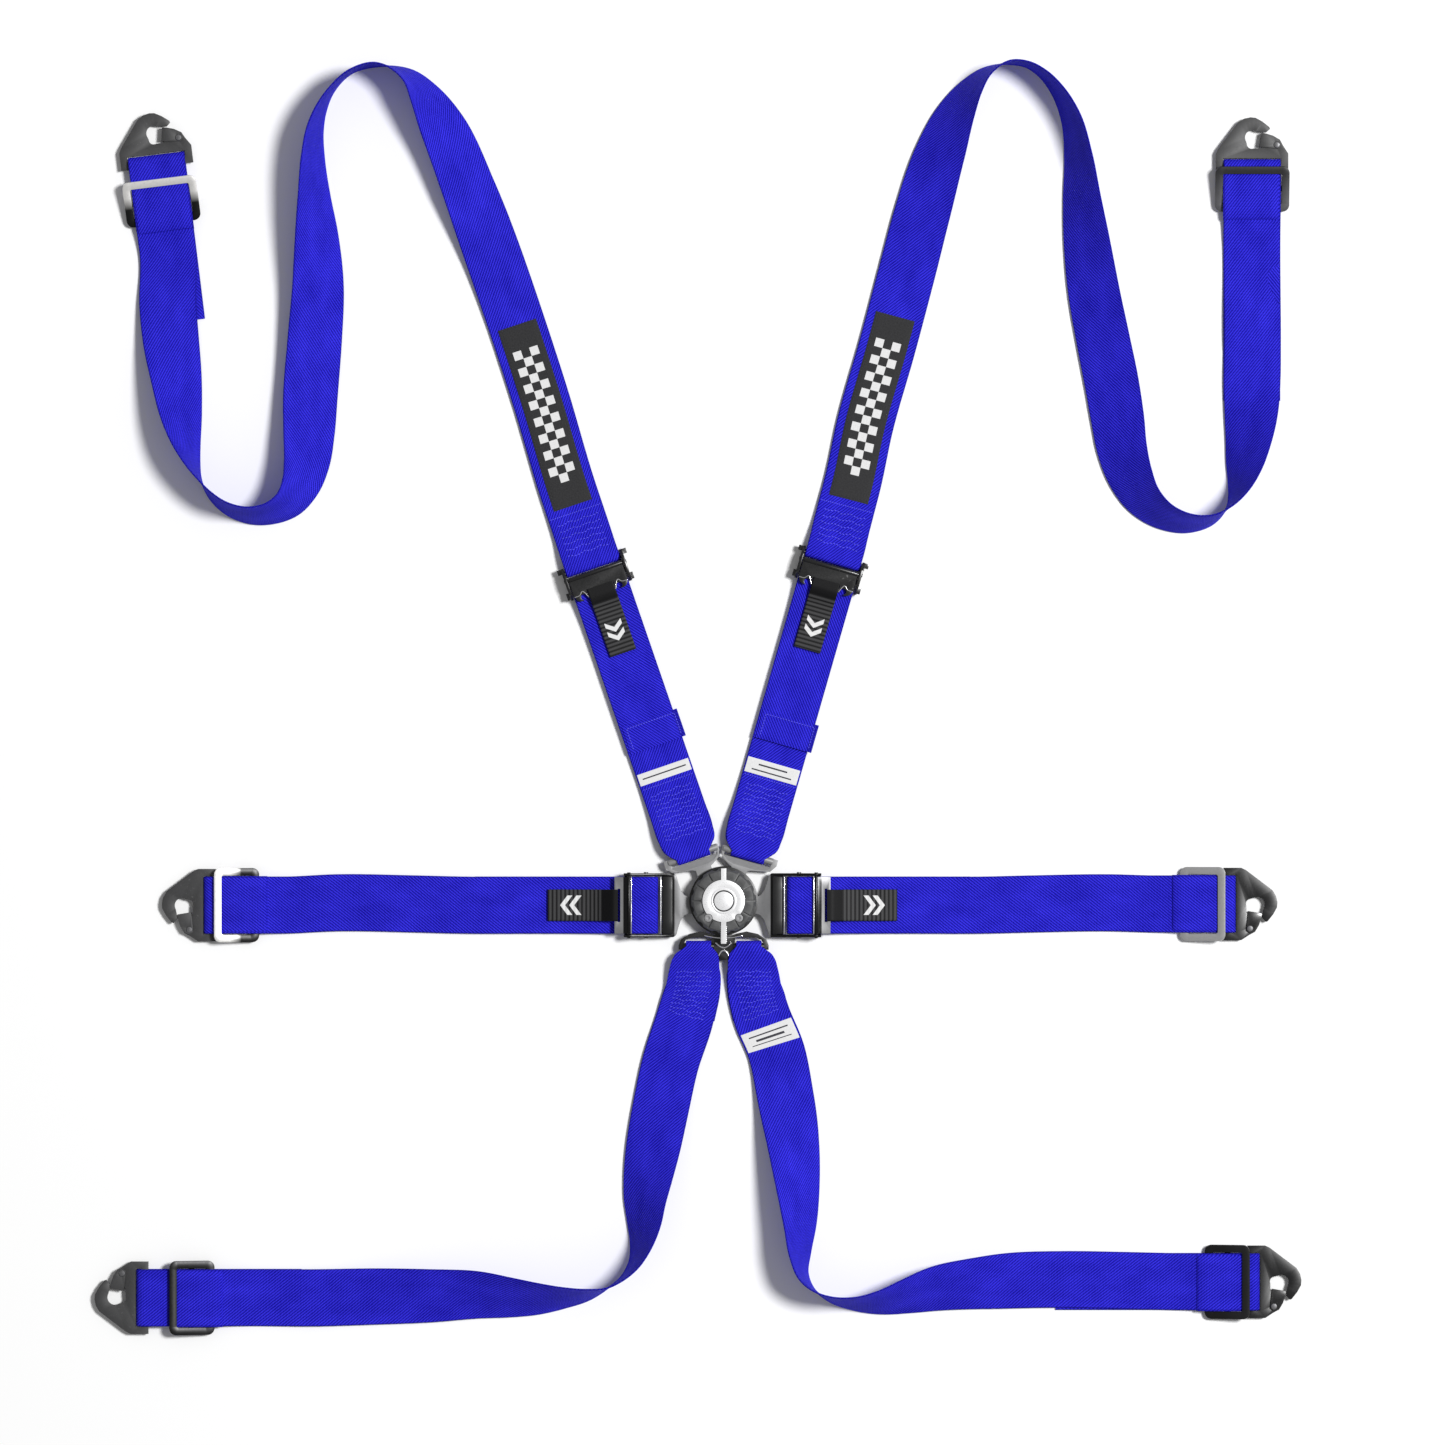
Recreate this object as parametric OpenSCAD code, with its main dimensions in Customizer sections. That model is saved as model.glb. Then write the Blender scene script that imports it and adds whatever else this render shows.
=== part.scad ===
// Six-point racing harness with a turn-to-release cam-lock buckle, laid out flat.
// Millimetres, +Z up, the floor at z = 0, the origin under the middle of the buckle.

/* [Webbing] */
// Width of every strap
web_w = 50; // [50:0.5:50.5]
// Thickness of the webbing
web_t = 1.5; // [1.2:0.1:1.5]
// Height of the loose webbing above the floor
web_lift = 2.8; // [2.4:0.1:3.4]

/* [Buckle] */
// Radius of the buckle's housing
housing_r = 30; // [29:0.5:31]
// Height of the closed housing
housing_h = 15; // [15:0.5:15.5]
// Radius of the turning ring
knob_r = 28.5; // [28:0.5:29.5]
// Radius of the bright turning disc
disc_r = 18.5; // [17:0.5:19]
// Width of a tongue's neck
neck_w = 14; // [12:0.5:14]
// Thickness of the tongues and hook plates
plate_t = 3; // [2.5:0.1:3]

/* [Snap hooks] */
// Radius of the eye that a hook closes on
eye_r = 6.5; // [6:0.1:6.5]
// Radius of the gate's rivet
rivet_r = 2; // [1.8:0.05:2]

/* [Slides] */
// Length of a slide along the strap
slide_len = 40; // [38:1:40]
// Width of a slide across the strap
slide_w = 65; // [63:1:66]
// Thickness of a slide
slide_t = 2.5; // [2:0.1:2.5]

/* [Hidden] */
HOOKS = ["left_shoulder", "right_shoulder", "left_lap", "right_lap", "left_leg", "right_leg"];
$fn = 48;
clear = 0.05;

// Colours of the real finishes
blue = [0.13, 0.09, 0.85];
black = [0.03, 0.03, 0.035];
dark = [0.12, 0.12, 0.13];
bright = [0.75, 0.75, 0.77];

// Heights of the webbing loops and of the tongues
tongue_z = 9;
hook_z = 5.3;
hook_loop_r = 4.45;
tongue_loop_r = 4.2;

// Shoulder lines: middle of the tongue's bar, its direction, and the way to the adjuster
SHOULDER = [[-27, 40, 109, 108.5], [21.5, 40, 74, 75.5]];
adjuster_s = 256;
fixed_bar_u = 13;
lock_bar_z = 7;
lock_loop_r = 3.2;

// Lap lines: middle of the adjuster's roller and direction to the hook
LAP = [[-68, -4, 180], [66, -4, 0]];
roller_half = 6;
roller_loop_r = 3.9;

// Leg lines: middle of the crotch tongue's bar; both straps leave it towards -Y
LEG = [[-22, -40, 270], [22, -40, 270]];

// Hooks: middle of the end bar, direction of the nose, which face is up,
// distance from the bar back to the slide, length of the strap's tail, webbing tilt at the hook
HOOK = [
    [-496.5, 646, 97, 1, 14, 140, 0],
    [463, 642, 90, 1, -1, 204, 0],
    [-448, -4, 180, -1, 1.6, 70, 0],
    [441, -3, 0, 1, 1.6, 70, 0],
    [-507, -348, 180, 1, 21.5, 137, 180],
    [462, -334, 0, 1, 1.2, 171, -180]
];

// Loose stretches of the straps, from the adjuster or tongue to the hook: x, y and tilt
LEFT_SHOULDER_ROUTE = [
    [-160, 439, 0], [-182, 507, 0], [-204, 571, 6], [-222, 620, 20], [-247, 680, 38],
    [-262, 706, 58], [-276, 722, 74], [-303, 731, 90], [-326, 725, 90], [-342, 710, 92],
    [-352, 692, 98], [-357, 675, 104], [-359, 649, 112], [-358, 617, 122], [-356, 584, 136],
    [-355, 538, 152], [-358, 492, 160], [-362, 439, 160], [-363, 408, 151], [-365, 382, 140],
    [-371, 361, 128], [-381, 347, 119], [-396, 339, 111], [-414, 337, 106], [-436, 344, 101],
    [-450, 356, 96], [-459, 370, 88], [-464, 382, 78], [-469, 398, 65], [-474, 422, 48],
    [-479, 457, 30], [-484, 490, 14], [-487, 520, 4]
];
RIGHT_SHOULDER_ROUTE = [
    [124, 417, 0], [143, 484, 0], [160, 548, -3], [174, 602, -12], [190, 656, -30],
    [204, 691, -50], [217, 712, -66], [231, 726, -79], [250, 733, -90], [266, 731, -92],
    [279, 723, -95], [292, 708, -100], [303, 686, -107], [310, 651, -117], [313, 617, -128],
    [318, 574, -142], [324, 533, -152], [332, 492, -157], [340, 452, -159], [345, 421, -156],
    [349, 394, -148], [356, 371, -139], [368, 350, -127], [386, 336, -116], [409, 330, -107],
    [429, 334, -98], [442, 345, -88], [450, 361, -71], [455, 380, -54], [459, 402, -40],
    [462, 430, -22], [463, 456, -8]
];
LEFT_LAP_ROUTE = [[-270, -3, 0], [-340, -2, 0]];
RIGHT_LAP_ROUTE = [[270, -3, 0], [340, -2, 0]];
LEFT_LEG_ROUTE = [
    [-33, -100, 0], [-47, -144, 3], [-55, -181, 8], [-61, -212, 16], [-66, -240, 30],
    [-69, -262, 42], [-70, -283, 54], [-73, -302, 68], [-79, -318, 80], [-89, -330, 88],
    [-101, -338, 93], [-118, -344, 104], [-140, -347, 115], [-163, -348, 127],
    [-186, -347, 137], [-212, -345, 148], [-257, -346, 162], [-310, -347, 174], [-345, -348, 180]
];
RIGHT_LEG_ROUTE = [
    [33, -100, 0], [46, -132, 0], [54, -171, -6], [61, -213, -24], [65, -250, -40],
    [67, -284, -55], [67, -310, -68], [70, -328, -80], [79, -340, -90], [93, -348, -98],
    [113, -352, -106], [137, -351, -118], [159, -346, -130], [182, -340, -143],
    [222, -335, -158], [250, -333, -170], [300, -332, -176], [350, -333, -180]
];

// ---- Webbing -------------------------------------------------------------

// A point of a strap is [x, y, z, tilt, width, heading]; no heading follows the route
function along(p, s, z, a, tilt, w) = [p.x + s * cos(a), p.y + s * sin(a), z, tilt, w, a];
function arc_points(r, a0, a1, n) = [for (i = [0:n]) let (a = a0 + (a1 - a0) * i / n) r * [cos(a), sin(a)]];

// Webbing turned round a bar: s runs along the strap away from the bar
function loop_round(p, a, s, z, r, rising, side, tilt, w) =
    let (turn = arc_points(r, rising ? -90 : 90, rising ? 90 : -90, 8))
    [for (q = turn) along(p, s + side * q.x, z + q.y, a, tilt, w)];

// A tilted strap stands on its lower edge, so its middle is raised by half its upright width
function loose(route) = [for (q = route) [q.x, q.y, web_lift, q.z, web_w, undef]];
function standing(q) = [q.x, q.y, q.z + q[4] / 2 * abs(sin(q[3]))];

function unit(v) = v / norm(v);
function headed(list) = [
    for (i = [0:len(list) - 1])
        let (q = list[i], a = list[max(i - 1, 0)], b = list[min(i + 1, len(list) - 1)])
        let (d = is_undef(q[5]) ? unit([b.x - a.x, b.y - a.y]) : [cos(q[5]), sin(q[5])])
        [q.x, q.y, q.z, q[3], q[4], d.x, d.y]
];

// Smooth curve through the points, with a ring at most `step` apart
step = 13;
function gap(a, b) = max(0.2, norm([b.x - a.x, b.y - a.y, b.z - a.z]));
function slope(p, q, r) =
    let (d0 = gap(p, q), d1 = gap(q, r))
    (q - p) / d0 - (r - p) / (d0 + d1) + (r - q) / d1;
function blend(a, b, ma, mb, d, t) =
    (2 * pow(t, 3) - 3 * pow(t, 2) + 1) * a + (pow(t, 3) - 2 * pow(t, 2) + t) * d * ma
    + (3 * pow(t, 2) - 2 * pow(t, 3)) * b + (pow(t, 3) - pow(t, 2)) * d * mb;
function smooth(k) = [
    for (i = [0:len(k) - 2])
        let (a = k[i], b = k[i + 1], d = gap(a, b), n = ceil(d / step))
        let (ma = i == 0 ? (b - a) / d : slope(k[i - 1], a, b))
        let (mb = i == len(k) - 2 ? (b - a) / d : slope(a, b, k[i + 2]))
        for (j = [0:n - 1]) blend(a, b, ma, mb, d, j / n),
    k[len(k) - 1]
];

function across(q) =
    let (d = unit([q[5], q[6]]))
    [-d.y * cos(q[3]), d.x * cos(q[3]), sin(q[3])];
function ring(list, i) =
    let (q = list[i], a = list[max(i - 1, 0)], b = list[min(i + 1, len(list) - 1)])
    let (run = unit(standing(b) - standing(a)), w = across(q) * q[4] / 2)
    let (n = unit(cross(run, across(q))) * web_t / 2, c = standing(q))
    [c - w - n, c + w - n, c + w + n, c - w + n];

module ribbon(points) {
    path = smooth(headed(points));
    last = len(path) - 1;
    corners = [for (i = [0:last]) each ring(path, i)];
    // Both faces are split along the same diagonal, so that the thickness stays even
    sides = [
        for (i = [0:last - 1], j = [0:3])
            let (a = 4 * i + j, b = 4 * i + (j + 1) % 4)
            each j < 2 ? [[a, b + 4, b], [a, a + 4, b + 4]] : [[a, a + 4, b], [b, a + 4, b + 4]]
    ];
    ends = [[0, 1, 2], [0, 2, 3], [4 * last, 4 * last + 2, 4 * last + 1],
            [4 * last, 4 * last + 3, 4 * last + 2]];
    polyhedron(corners, concat(sides, ends), convexity = 10);
}

// The stretch of strap through the slide, round the hook's bar and back as the tail
function hook_end(h) =
    let (p = [h[0], h[1]], a = h[2], f = h[4], tilt = h[6])
    let (main = [[62, 3.3], [51, 4.8], [42, 7.1], [36.5, 8.2], [30, 8.8], [20, 9.2], [9, 9.2], [4, 9.45]])
    concat(
        [for (q = main) along(p, -(f + q.x), q.y, a, tilt, web_w)],
        f > 5 ? [along(p, -4, hook_z + hook_loop_r - 0.05, a, tilt, web_w)] : [],
        loop_round(p, a, 0, hook_z, hook_loop_r, false, 1, tilt, web_w),
        [for (q = [[6, 0.9], [20, 1.1], [h[5] - 12, 1.1], [h[5], 1.2]]) along(p, -q.x, q.y, a, tilt, web_w)]
    );

// ---- Snap hooks ----------------------------------------------------------

module on_hook(h) translate([h[0], h[1], hook_z]) rotate([h[3] > 0 ? 0 : 180, 0, h[2]]) children();
rivet_at = [20, -21.5];
seat_at = [26.5, -0.3];

module hook_outline() polygon([
    [-3, 31.7], [12.5, 31.7], [16.5, 29.8], [39.9, 12.1], [43, 7], [44.2, 1.5], [43.8, -3],
    [40.5, -9], [35.6, -15.2], [34, -15.7], [30.9, -12.1], [27, -12.1], [24.6, -24.4],
    [19.6, -27], [12.5, -31.7], [-3, -31.7]
]);
module hook_window() {
    translate(seat_at) circle(r = eye_r);
    translate([21, 0.3]) circle(r = 4.4);
    polygon([[21, 4.7], [26, 6.1], [26, -6], [21, -4.1]]);
    polygon([[17, -1], [32.2, -3.5], [31.3, -7.4], [30.9, -12.1], [34.6, -16.6], [36, -30],
             [27, -26], [23.6, -19.5], [21.3, -15], [18.5, -11], [17, -7]]);
}
module webbing_slot() translate([3, -25.6]) square([5.2, 51.2]);
module snap_hook(i) {
    color(dark)
        on_hook(HOOK[i])
            translate([0, 0, -plate_t / 2])
                linear_extrude(plate_t)
                    difference() {
                        hook_outline();
                        hook_window();
                        webbing_slot();
                        translate(rivet_at) circle(r = rivet_r + clear);
                    }
}

gate_gap = 0.35;
gate_sheet = 1;
module gate_side() difference() {
    polygon([[18.4, -6.2], [30.4, -8.2], [30, -12], [28, -18.4], [24.6, -24.2], [20, -25.6],
             [16.8, -23.4], [17, -20]]);
    translate(rivet_at) circle(r = rivet_r + clear);
}
module gate(i) {
    side_z = plate_t / 2 + gate_gap;
    color(black)
        on_hook(HOOK[i]) {
            for (z = [side_z, -side_z - gate_sheet])
                translate([0, 0, z]) linear_extrude(gate_sheet) gate_side();
            translate([0, 0, -side_z - 0.1])
                linear_extrude(2 * side_z + 0.2)
                    polygon([[25.2, -8], [30.3, -8.6], [29.9, -12], [27.9, -17.9], [25.6, -17.4]]);
        }
}
module gate_rivet(i) {
    head_z = plate_t / 2 + gate_gap + gate_sheet + 0.1;
    color(bright)
        on_hook(HOOK[i])
            translate(rivet_at) {
                cylinder(h = 2 * head_z, r = rivet_r, center = true);
                translate([0, 0, head_z]) cylinder(h = 0.9, r1 = rivet_r + 0.9, r2 = rivet_r + 0.4);
                mirror([0, 0, 1])
                    translate([0, 0, head_z]) cylinder(h = 0.9, r1 = rivet_r + 0.9, r2 = rivet_r + 0.4);
            }
}

// ---- Slides --------------------------------------------------------------

near_bar_z = 12.6;
far_bar_z = 5;
bar_w = 6.5;
module rounded_box(l, w, r, t)
    translate([0, 0, -t / 2])
        linear_extrude(t) {
            square([l, w - 2 * r], center = true);
            square([l - 2 * r, w], center = true);
            for (x = [-1, 1], y = [-1, 1])
                translate([x * (l / 2 - r), y * (w / 2 - r)]) circle(r = r);
        }
module slide(i) {
    h = HOOK[i];
    reach = slide_len - bar_w;
    tilt = asin((near_bar_z - far_bar_z) / reach);
    color(dark)
        translate([h[0], h[1], (near_bar_z + far_bar_z) / 2])
            rotate([0, 0, h[2]])
                translate([-h[4] - slide_len / 2 + 0.3, 0, 0])
                    rotate([0, -tilt, 0]) {
                        difference() {
                            rounded_box(slide_len, slide_w, 6, slide_t);
                            rounded_box(slide_len - 2 * bar_w, web_w + 2, 2, slide_t + 1);
                        }
                        for (y = [-1, 1])
                            translate([0, y * (web_w / 2 + 2.5), -1.4]) cube([6, 3, 2.8], center = true);
                        translate([0, 0, -2.2]) cube([5, web_w + 6, 1.6], center = true);
                    }
}

// ---- Shoulder tongues, adjusters and straps ------------------------------

module on_shoulder(i, s = 0, a = 2)
    translate([SHOULDER[i][0] + s * cos(SHOULDER[i][2]), SHOULDER[i][1] + s * sin(SHOULDER[i][2]), 0])
        rotate([0, 0, SHOULDER[i][a]])
            children();
neck_v = [-5, 4];
neck_s = -33.5;
peg_s = -29;

// The two tongues mirror each other, each with its slimmer arm on the inner side
module shoulder_tongue(i) {
    v = -abs(neck_v[i]);
    n = neck_w / 2;
    color(bright)
        on_shoulder(i)
            mirror([0, i, 0]) {
                translate([0, 0, tongue_z - plate_t / 2])
                    linear_extrude(plate_t)
                        difference() {
                            polygon([[2.6, 26.5], [-3, 26.5], [-9, 22.5], [-12.5, v + n + 3], [-14, v + n],
                                     [neck_s + 2, v + n], [neck_s, v + n - 2], [neck_s, v - n + 2],
                                     [neck_s + 2, v - n], [-14, v - n], [-12.5, v - n - 3],
                                     [-9, -20.5], [-3, -23.5], [2.6, -23.5]]);
                            polygon([[4, 21.5], [-6, 21.5], [-9.5, 17], [-11, 10], [-11, -10],
                                     [-9.5, -16], [-6, -20.7], [4, -20.7]]);
                            translate([peg_s, v]) circle(r = 2.4);
                        }
                translate([0, 0, tongue_z]) rotate([90, 0, 0]) cylinder(h = 45, r = 3, center = true);
            }
}

module lower_shoulder_webbing(i) {
    p = SHOULDER[i];
    a = p[2];
    color(blue)
        ribbon(concat(
            [for (q = [[62, 2.2, 50], [40, 2.4, 50], [20, 3.3, 50], [7, 4.7, 44]])
                along(p, q.x, q.y, a, 0, q.z)],
            loop_round(p, a, 0, tongue_z, tongue_loop_r, true, -1, 0, 40),
            [for (q = [[7, 12.9, 44], [20, 10.4, 50], [40, 6.6, 50], [62, 4.5, 50], [100, 4.1, 50],
                       [150, 4.1, 50], [200, 4, 50], [240, 3.9, 50], [250, 3.8, 50]])
                along(p, q.x, q.y, a, 0, q.z)],
            loop_round(p, a, adjuster_s, lock_bar_z, lock_loop_r, true, 1, 0, web_w),
            [for (q = [[250, 9.9], [240, 8.4], [226, 6.9], [205, 6.2], [150, 6.2], [101, 6.2]])
                along(p, q.x, q.y, a, 0, web_w)]
        ));
}

// The upper strap's end is sewn round the adjuster's fixed bar
function upper_start(i) =
    let (p = SHOULDER[i], s = adjuster_s + fixed_bar_u, a = p[2])
    let (b = [p.x + s * cos(a), p.y + s * sin(a)])
    concat(
        [for (q = [[46, 1.6], [30, 1.8]]) along(b, q.x, q.y, p[3], 0, web_w)],
        [for (q = [[12, 3], [5, 3.75]]) along(b, q.x, q.y, a, 0, web_w)],
        loop_round(b, a, 0, lock_bar_z, lock_loop_r, true, -1, 0, web_w),
        [for (q = [[5, 10.1], [12, 9]]) along(b, q.x, q.y, a, 0, web_w)],
        [for (q = [[30, 5], [46, 3.9], [70, 3.2]]) along(b, q.x, q.y, p[3], 0, web_w)]
    );

lever_at = [6.5, 13];
cheek_v = 25.8;
cheek_t = 2.5;
module cheek_pair(v, t) for (m = [0, 1]) mirror([0, m, 0]) translate([0, v + t, 0]) rotate([90, 0, 0])
    linear_extrude(t) children();

module shoulder_adjuster(i) {
    color(dark)
        on_shoulder(i, adjuster_s) {
            cheek_pair(cheek_v, cheek_t)
                difference() {
                    polygon([[-11, 2], [-9, 1], [16, 1], [18, 3], [18, 9], [11, 15.6], [1, 16.4],
                             [-6, 14.6], [-11, 9]]);
                    translate([0, lock_bar_z]) circle(r = 2.2 + clear);
                    translate(lever_at) circle(r = 1.5 + clear);
                }
            translate([fixed_bar_u, 0, lock_bar_z])
                rotate([90, 0, 0]) cylinder(h = 2 * cheek_v + 1, r = 2.3, center = true);
            translate([6.5, 0, 6]) cube([2.4, 2 * cheek_v + 1, 9.4], center = true);
            for (y = [-1, 1]) {
                translate([15.5, y * (cheek_v + cheek_t + 1.5), 8]) cube([4.5, 4, 3], center = true);
                translate([-7, y * (cheek_v + cheek_t + 1), 10]) cube([6, 3, 3], center = true);
            }
        }
}
module shoulder_lock_bar(i) {
    color(bright)
        on_shoulder(i, adjuster_s)
            translate([0, 0, lock_bar_z])
                rotate([90, 0, 0]) cylinder(h = 2 * (cheek_v + cheek_t), r = 2.2, center = true);
}
module shoulder_lever(i) {
    color(dark)
        on_shoulder(i, adjuster_s) {
            translate([0, 0, 12.2])
                linear_extrude(1.5)
                    difference() {
                        union() {
                            translate([-9, -24.8]) square([15.5, 49.6]);
                            for (y = [-18.6, 0, 18.6]) translate([-9, y]) circle(r = 5.6);
                            translate([-13.5, -13]) square([5, 26]);
                        }
                        for (y = [-9.4, 9.4]) translate([-11.5, y * 1.75]) circle(r = 2.6);
                        translate([-9.6, -12.4]) square([2.4, 24.8]);
                    }
            translate([lever_at.x, 0, lever_at.y])
                rotate([90, 0, 0]) cylinder(h = 2 * (cheek_v + cheek_t) + 1, r = 1.5, center = true);
            translate([lever_at.x, 0, lever_at.y])
                rotate([90, 0, 0]) cylinder(h = 48, r = 2.1, center = true);
        }
}

// A pull tab is a narrow ribbed strap through the slot in its lever
module tab_strip(points, w, t)
    rotate([90, 0, 0])
        linear_extrude(w, center = true)
            polygon(concat([for (q = points) [q.x, q.y + t / 2]],
                           [for (i = [len(points) - 1:-1:0]) [points[i].x, points[i].y - t / 2]]));
module shoulder_pull_tab(i) {
    color(black)
        on_shoulder(i, adjuster_s)
            tab_strip([[-5, 14.8], [-14, 14.8], [-18, 13.8], [-26, 10.6], [-34, 9.6], [-69, 8.9]], 24, 1.6);
}

// ---- Lap tongues, adjusters and straps -----------------------------------

module on_lap(i) translate([LAP[i][0], LAP[i][1], 0]) rotate([0, 0, LAP[i][2]]) children();
lap_lever_at = [15, 14.9];
rail_v = 25.8;
rail_t = 2.2;
module lap_tongue(i) {
    tip = [-54, -52][i];
    color(dark)
        on_lap(i) {
            translate([0, 0, tongue_z - plate_t / 2])
                linear_extrude(plate_t)
                    difference() {
                        polygon([[tip, 5.5], [tip + 2, 7.5], [-37, 7.5], [-33.5, 9], [-30.5, 13],
                                 [-28.5, 19], [-26.5, 26], [-24, 28], [-14, 28], [-14, -28],
                                 [-24, -28], [-26.5, -26], [-28.5, -19], [-30.5, -13], [-33.5, -9],
                                 [-37, -7.5], [tip + 2, -7.5], [tip, -5.5]]);
                        translate([tip + 5, 0]) circle(r = 2.4);
                    }
            cheek_pair(rail_v, rail_t)
                difference() {
                    polygon([[-22, 7.5], [-14, 5], [16, 5], [19.5, 7], [19.5, 15], [16, 18],
                             [12, 18], [6, 14.5], [-14, 13.5], [-22, 10.5]]);
                    translate([0, tongue_z]) circle(r = 2 + clear);
                    translate(lap_lever_at) circle(r = 1.5 + clear);
                }
            translate([17.3, 0, 6.6]) cube([3.4, 2 * rail_v + 1, 2.2], center = true);
        }
}
module lap_roller(i) {
    color(bright)
        on_lap(i)
            translate([0, 0, tongue_z]) {
                for (x = [-roller_half, roller_half])
                    translate([x, 0, 0]) rotate([90, 0, 0]) cylinder(h = 50.8, r = 2.9, center = true);
                cube([2 * roller_half, 50.8, 5.8], center = true);
                rotate([90, 0, 0]) cylinder(h = 2 * (rail_v + rail_t) + 2, r = 2, center = true);
            }
}
function lap_start(i) =
    let (p = LAP[i], a = p[2])
    concat(
        [for (q = [[150, 1.3], [100, 1.3], [60, 1.5], [30, 2.7], [14, 4.5], [6, 5.1]])
            along(p, q.x, q.y, a, 0, web_w)],
        loop_round(p, a, -roller_half, tongue_z, roller_loop_r, true, -1, 0, web_w),
        [for (q = [[6, 12.9], [10, 12.6], [16, 11], [26, 8.4], [40, 6], [60, 4.4], [100, 3.5], [160, 3.3]])
            along(p, q.x, q.y, a, 0, web_w)]
    );
module lap_lever(i) {
    color(bright)
        on_lap(i) {
            translate([lap_lever_at.x, -24.8, 14.1])
                difference() {
                    cube([12.5, 49.6, 1.5]);
                    translate([7.4, 10.2, -1]) cube([2.4, 29.2, 4]);
                }
            translate([lap_lever_at.x, 0, lap_lever_at.y])
                rotate([90, 0, 0]) cylinder(h = 2 * (rail_v + rail_t) + 1.6, r = 1.5, center = true);
        }
}
module lap_pull_tab(i) {
    color(black)
        on_lap(i)
            tab_strip([[23.7, 16.8], [29, 16.8], [34, 14.4], [42, 10.4], [50, 8.8], [86, 6.6]], 27.6, 1.6);
}

// ---- Crotch tongue -------------------------------------------------------

module crotch_tongue() {
    color(black) {
        translate([0, 0, tongue_z - plate_t / 2])
            linear_extrude(plate_t)
                difference() {
                    union() {
                        polygon([[-5.5, -13], [5.5, -13], [7.5, -15], [7.5, -29.6], [9, -32], [9, -44],
                                 [5, -52], [-5, -52], [-9, -44], [-9, -32], [-7.5, -29.6], [-7.5, -15]]);
                        for (m = [0, 1])
                            mirror([m, 0, 0])
                                polygon([[6, -30.8], [11, -29], [20, -27], [30, -29.2], [37.5, -34],
                                         [39.4, -39], [39.4, -43], [35, -43], [35, -38], [33, -34.2],
                                         [28, -32.6], [10.2, -32], [10.2, -43], [6, -43]]);
                    }
                    translate([0, -18]) circle(r = 2.4);
                }
        for (x = [-22, 22])
            translate([x, -40, tongue_z]) rotate([0, 90, 0]) cylinder(h = 27, r = 3, center = true);
    }
}
// The straps spread apart as they widen, so the two lie side by side
function leg_start(i) =
    let (p = LEG[i], a = p[2], out = [sign(p.x), 0])
    concat(
        [for (q = [[66, 1.4, 50, 11], [40, 1.6, 50, 6], [20, 3.2, 38, 1.2], [7, 4.7, 25, 0]])
            along([p.x, p.y] + q[3] * out, q.x, q.y, a, 0, q.z)],
        loop_round(p, a, 0, tongue_z, tongue_loop_r, true, -1, 0, 21),
        [for (q = [[7, 12.9, 25, 0], [20, 9.4, 38, 0.6], [34, 5.6, 48, 3]])
            along([p.x, p.y] + q[3] * out, q.x, q.y, a, 0, q.z)]
    );

// ---- Straps to the hooks -------------------------------------------------

module hook_webbing(i) {
    routes = [LEFT_SHOULDER_ROUTE, RIGHT_SHOULDER_ROUTE, LEFT_LAP_ROUTE, RIGHT_LAP_ROUTE,
              LEFT_LEG_ROUTE, RIGHT_LEG_ROUTE];
    start = i < 2 ? upper_start(i) : i < 4 ? lap_start(i - 2) : leg_start(i - 4);
    color(blue) ribbon(concat(start, loose(routes[i]), hook_end(HOOK[i])));
}

// ---- Buckle --------------------------------------------------------------

spindle_r = 4;
cavity_r = 25.5;
tongue_gap = 0.35;
// Middle of each latch peg, in the housing
PEGS = [
    for (i = [0, 1])
        let (p = SHOULDER[i], a = p[2])
        [p.x + peg_s * cos(a) - neck_v[i] * sin(a), p.y + peg_s * sin(a) + neck_v[i] * cos(a)],
    [-19, -4], [19, -4], [0, -18]
];

module buckle_back_plate() {
    color(dark)
        difference() {
            cylinder(h = 2, r = housing_r, $fn = 96);
            for (a = [45:90:315]) rotate(a) translate([22, 0, -1]) cylinder(h = 4, r = 1.6);
            for (a = [45:90:315]) rotate(a) translate([22, 0, -0.01]) cylinder(h = 1.06, r1 = 3.1, r2 = 2.1);
        }
}
module housing_screws() {
    color(bright)
        for (a = [45:90:315])
            rotate(a) translate([22, 0, 0.1]) {
                cylinder(h = 0.9, r1 = 2.9, r2 = 2);
                cylinder(h = 4.6, r = 1.5);
            }
}
module buckle_housing() {
    slot_z = tongue_z - plate_t / 2 - tongue_gap;
    slot_h = plate_t + 2 * tongue_gap;
    color(dark)
        difference() {
            translate([0, 0, 2.05]) cylinder(h = housing_h - 2.05, r = housing_r, $fn = 96);
            difference() {
                translate([0, 0, 5.2]) cylinder(h = 8.2, r = cavity_r, $fn = 96);
                cylinder(h = 20, r = spindle_r);
            }
            difference() {
                cylinder(h = 20, r = 7.06);
                cylinder(h = 20, r = spindle_r);
                cylinder(h = 12, r = 8);
            }
            for (i = [0, 1])
                on_shoulder(i)
                    translate([-40, neck_v[i] - neck_w / 2 - 0.4, slot_z])
                        cube([60, neck_w + 0.8, slot_h]);
            for (x = [-1, 1])
                translate([x * 30 - 14, -4 - 7.9, slot_z]) cube([28, 15.8, slot_h]);
            translate([-7.9, -44, slot_z]) cube([15.8, 28, slot_h]);
            for (a = [45:90:315]) rotate(a) translate([22, 0, -1]) cylinder(h = 6, r = 1.55);
        }
}
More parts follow.
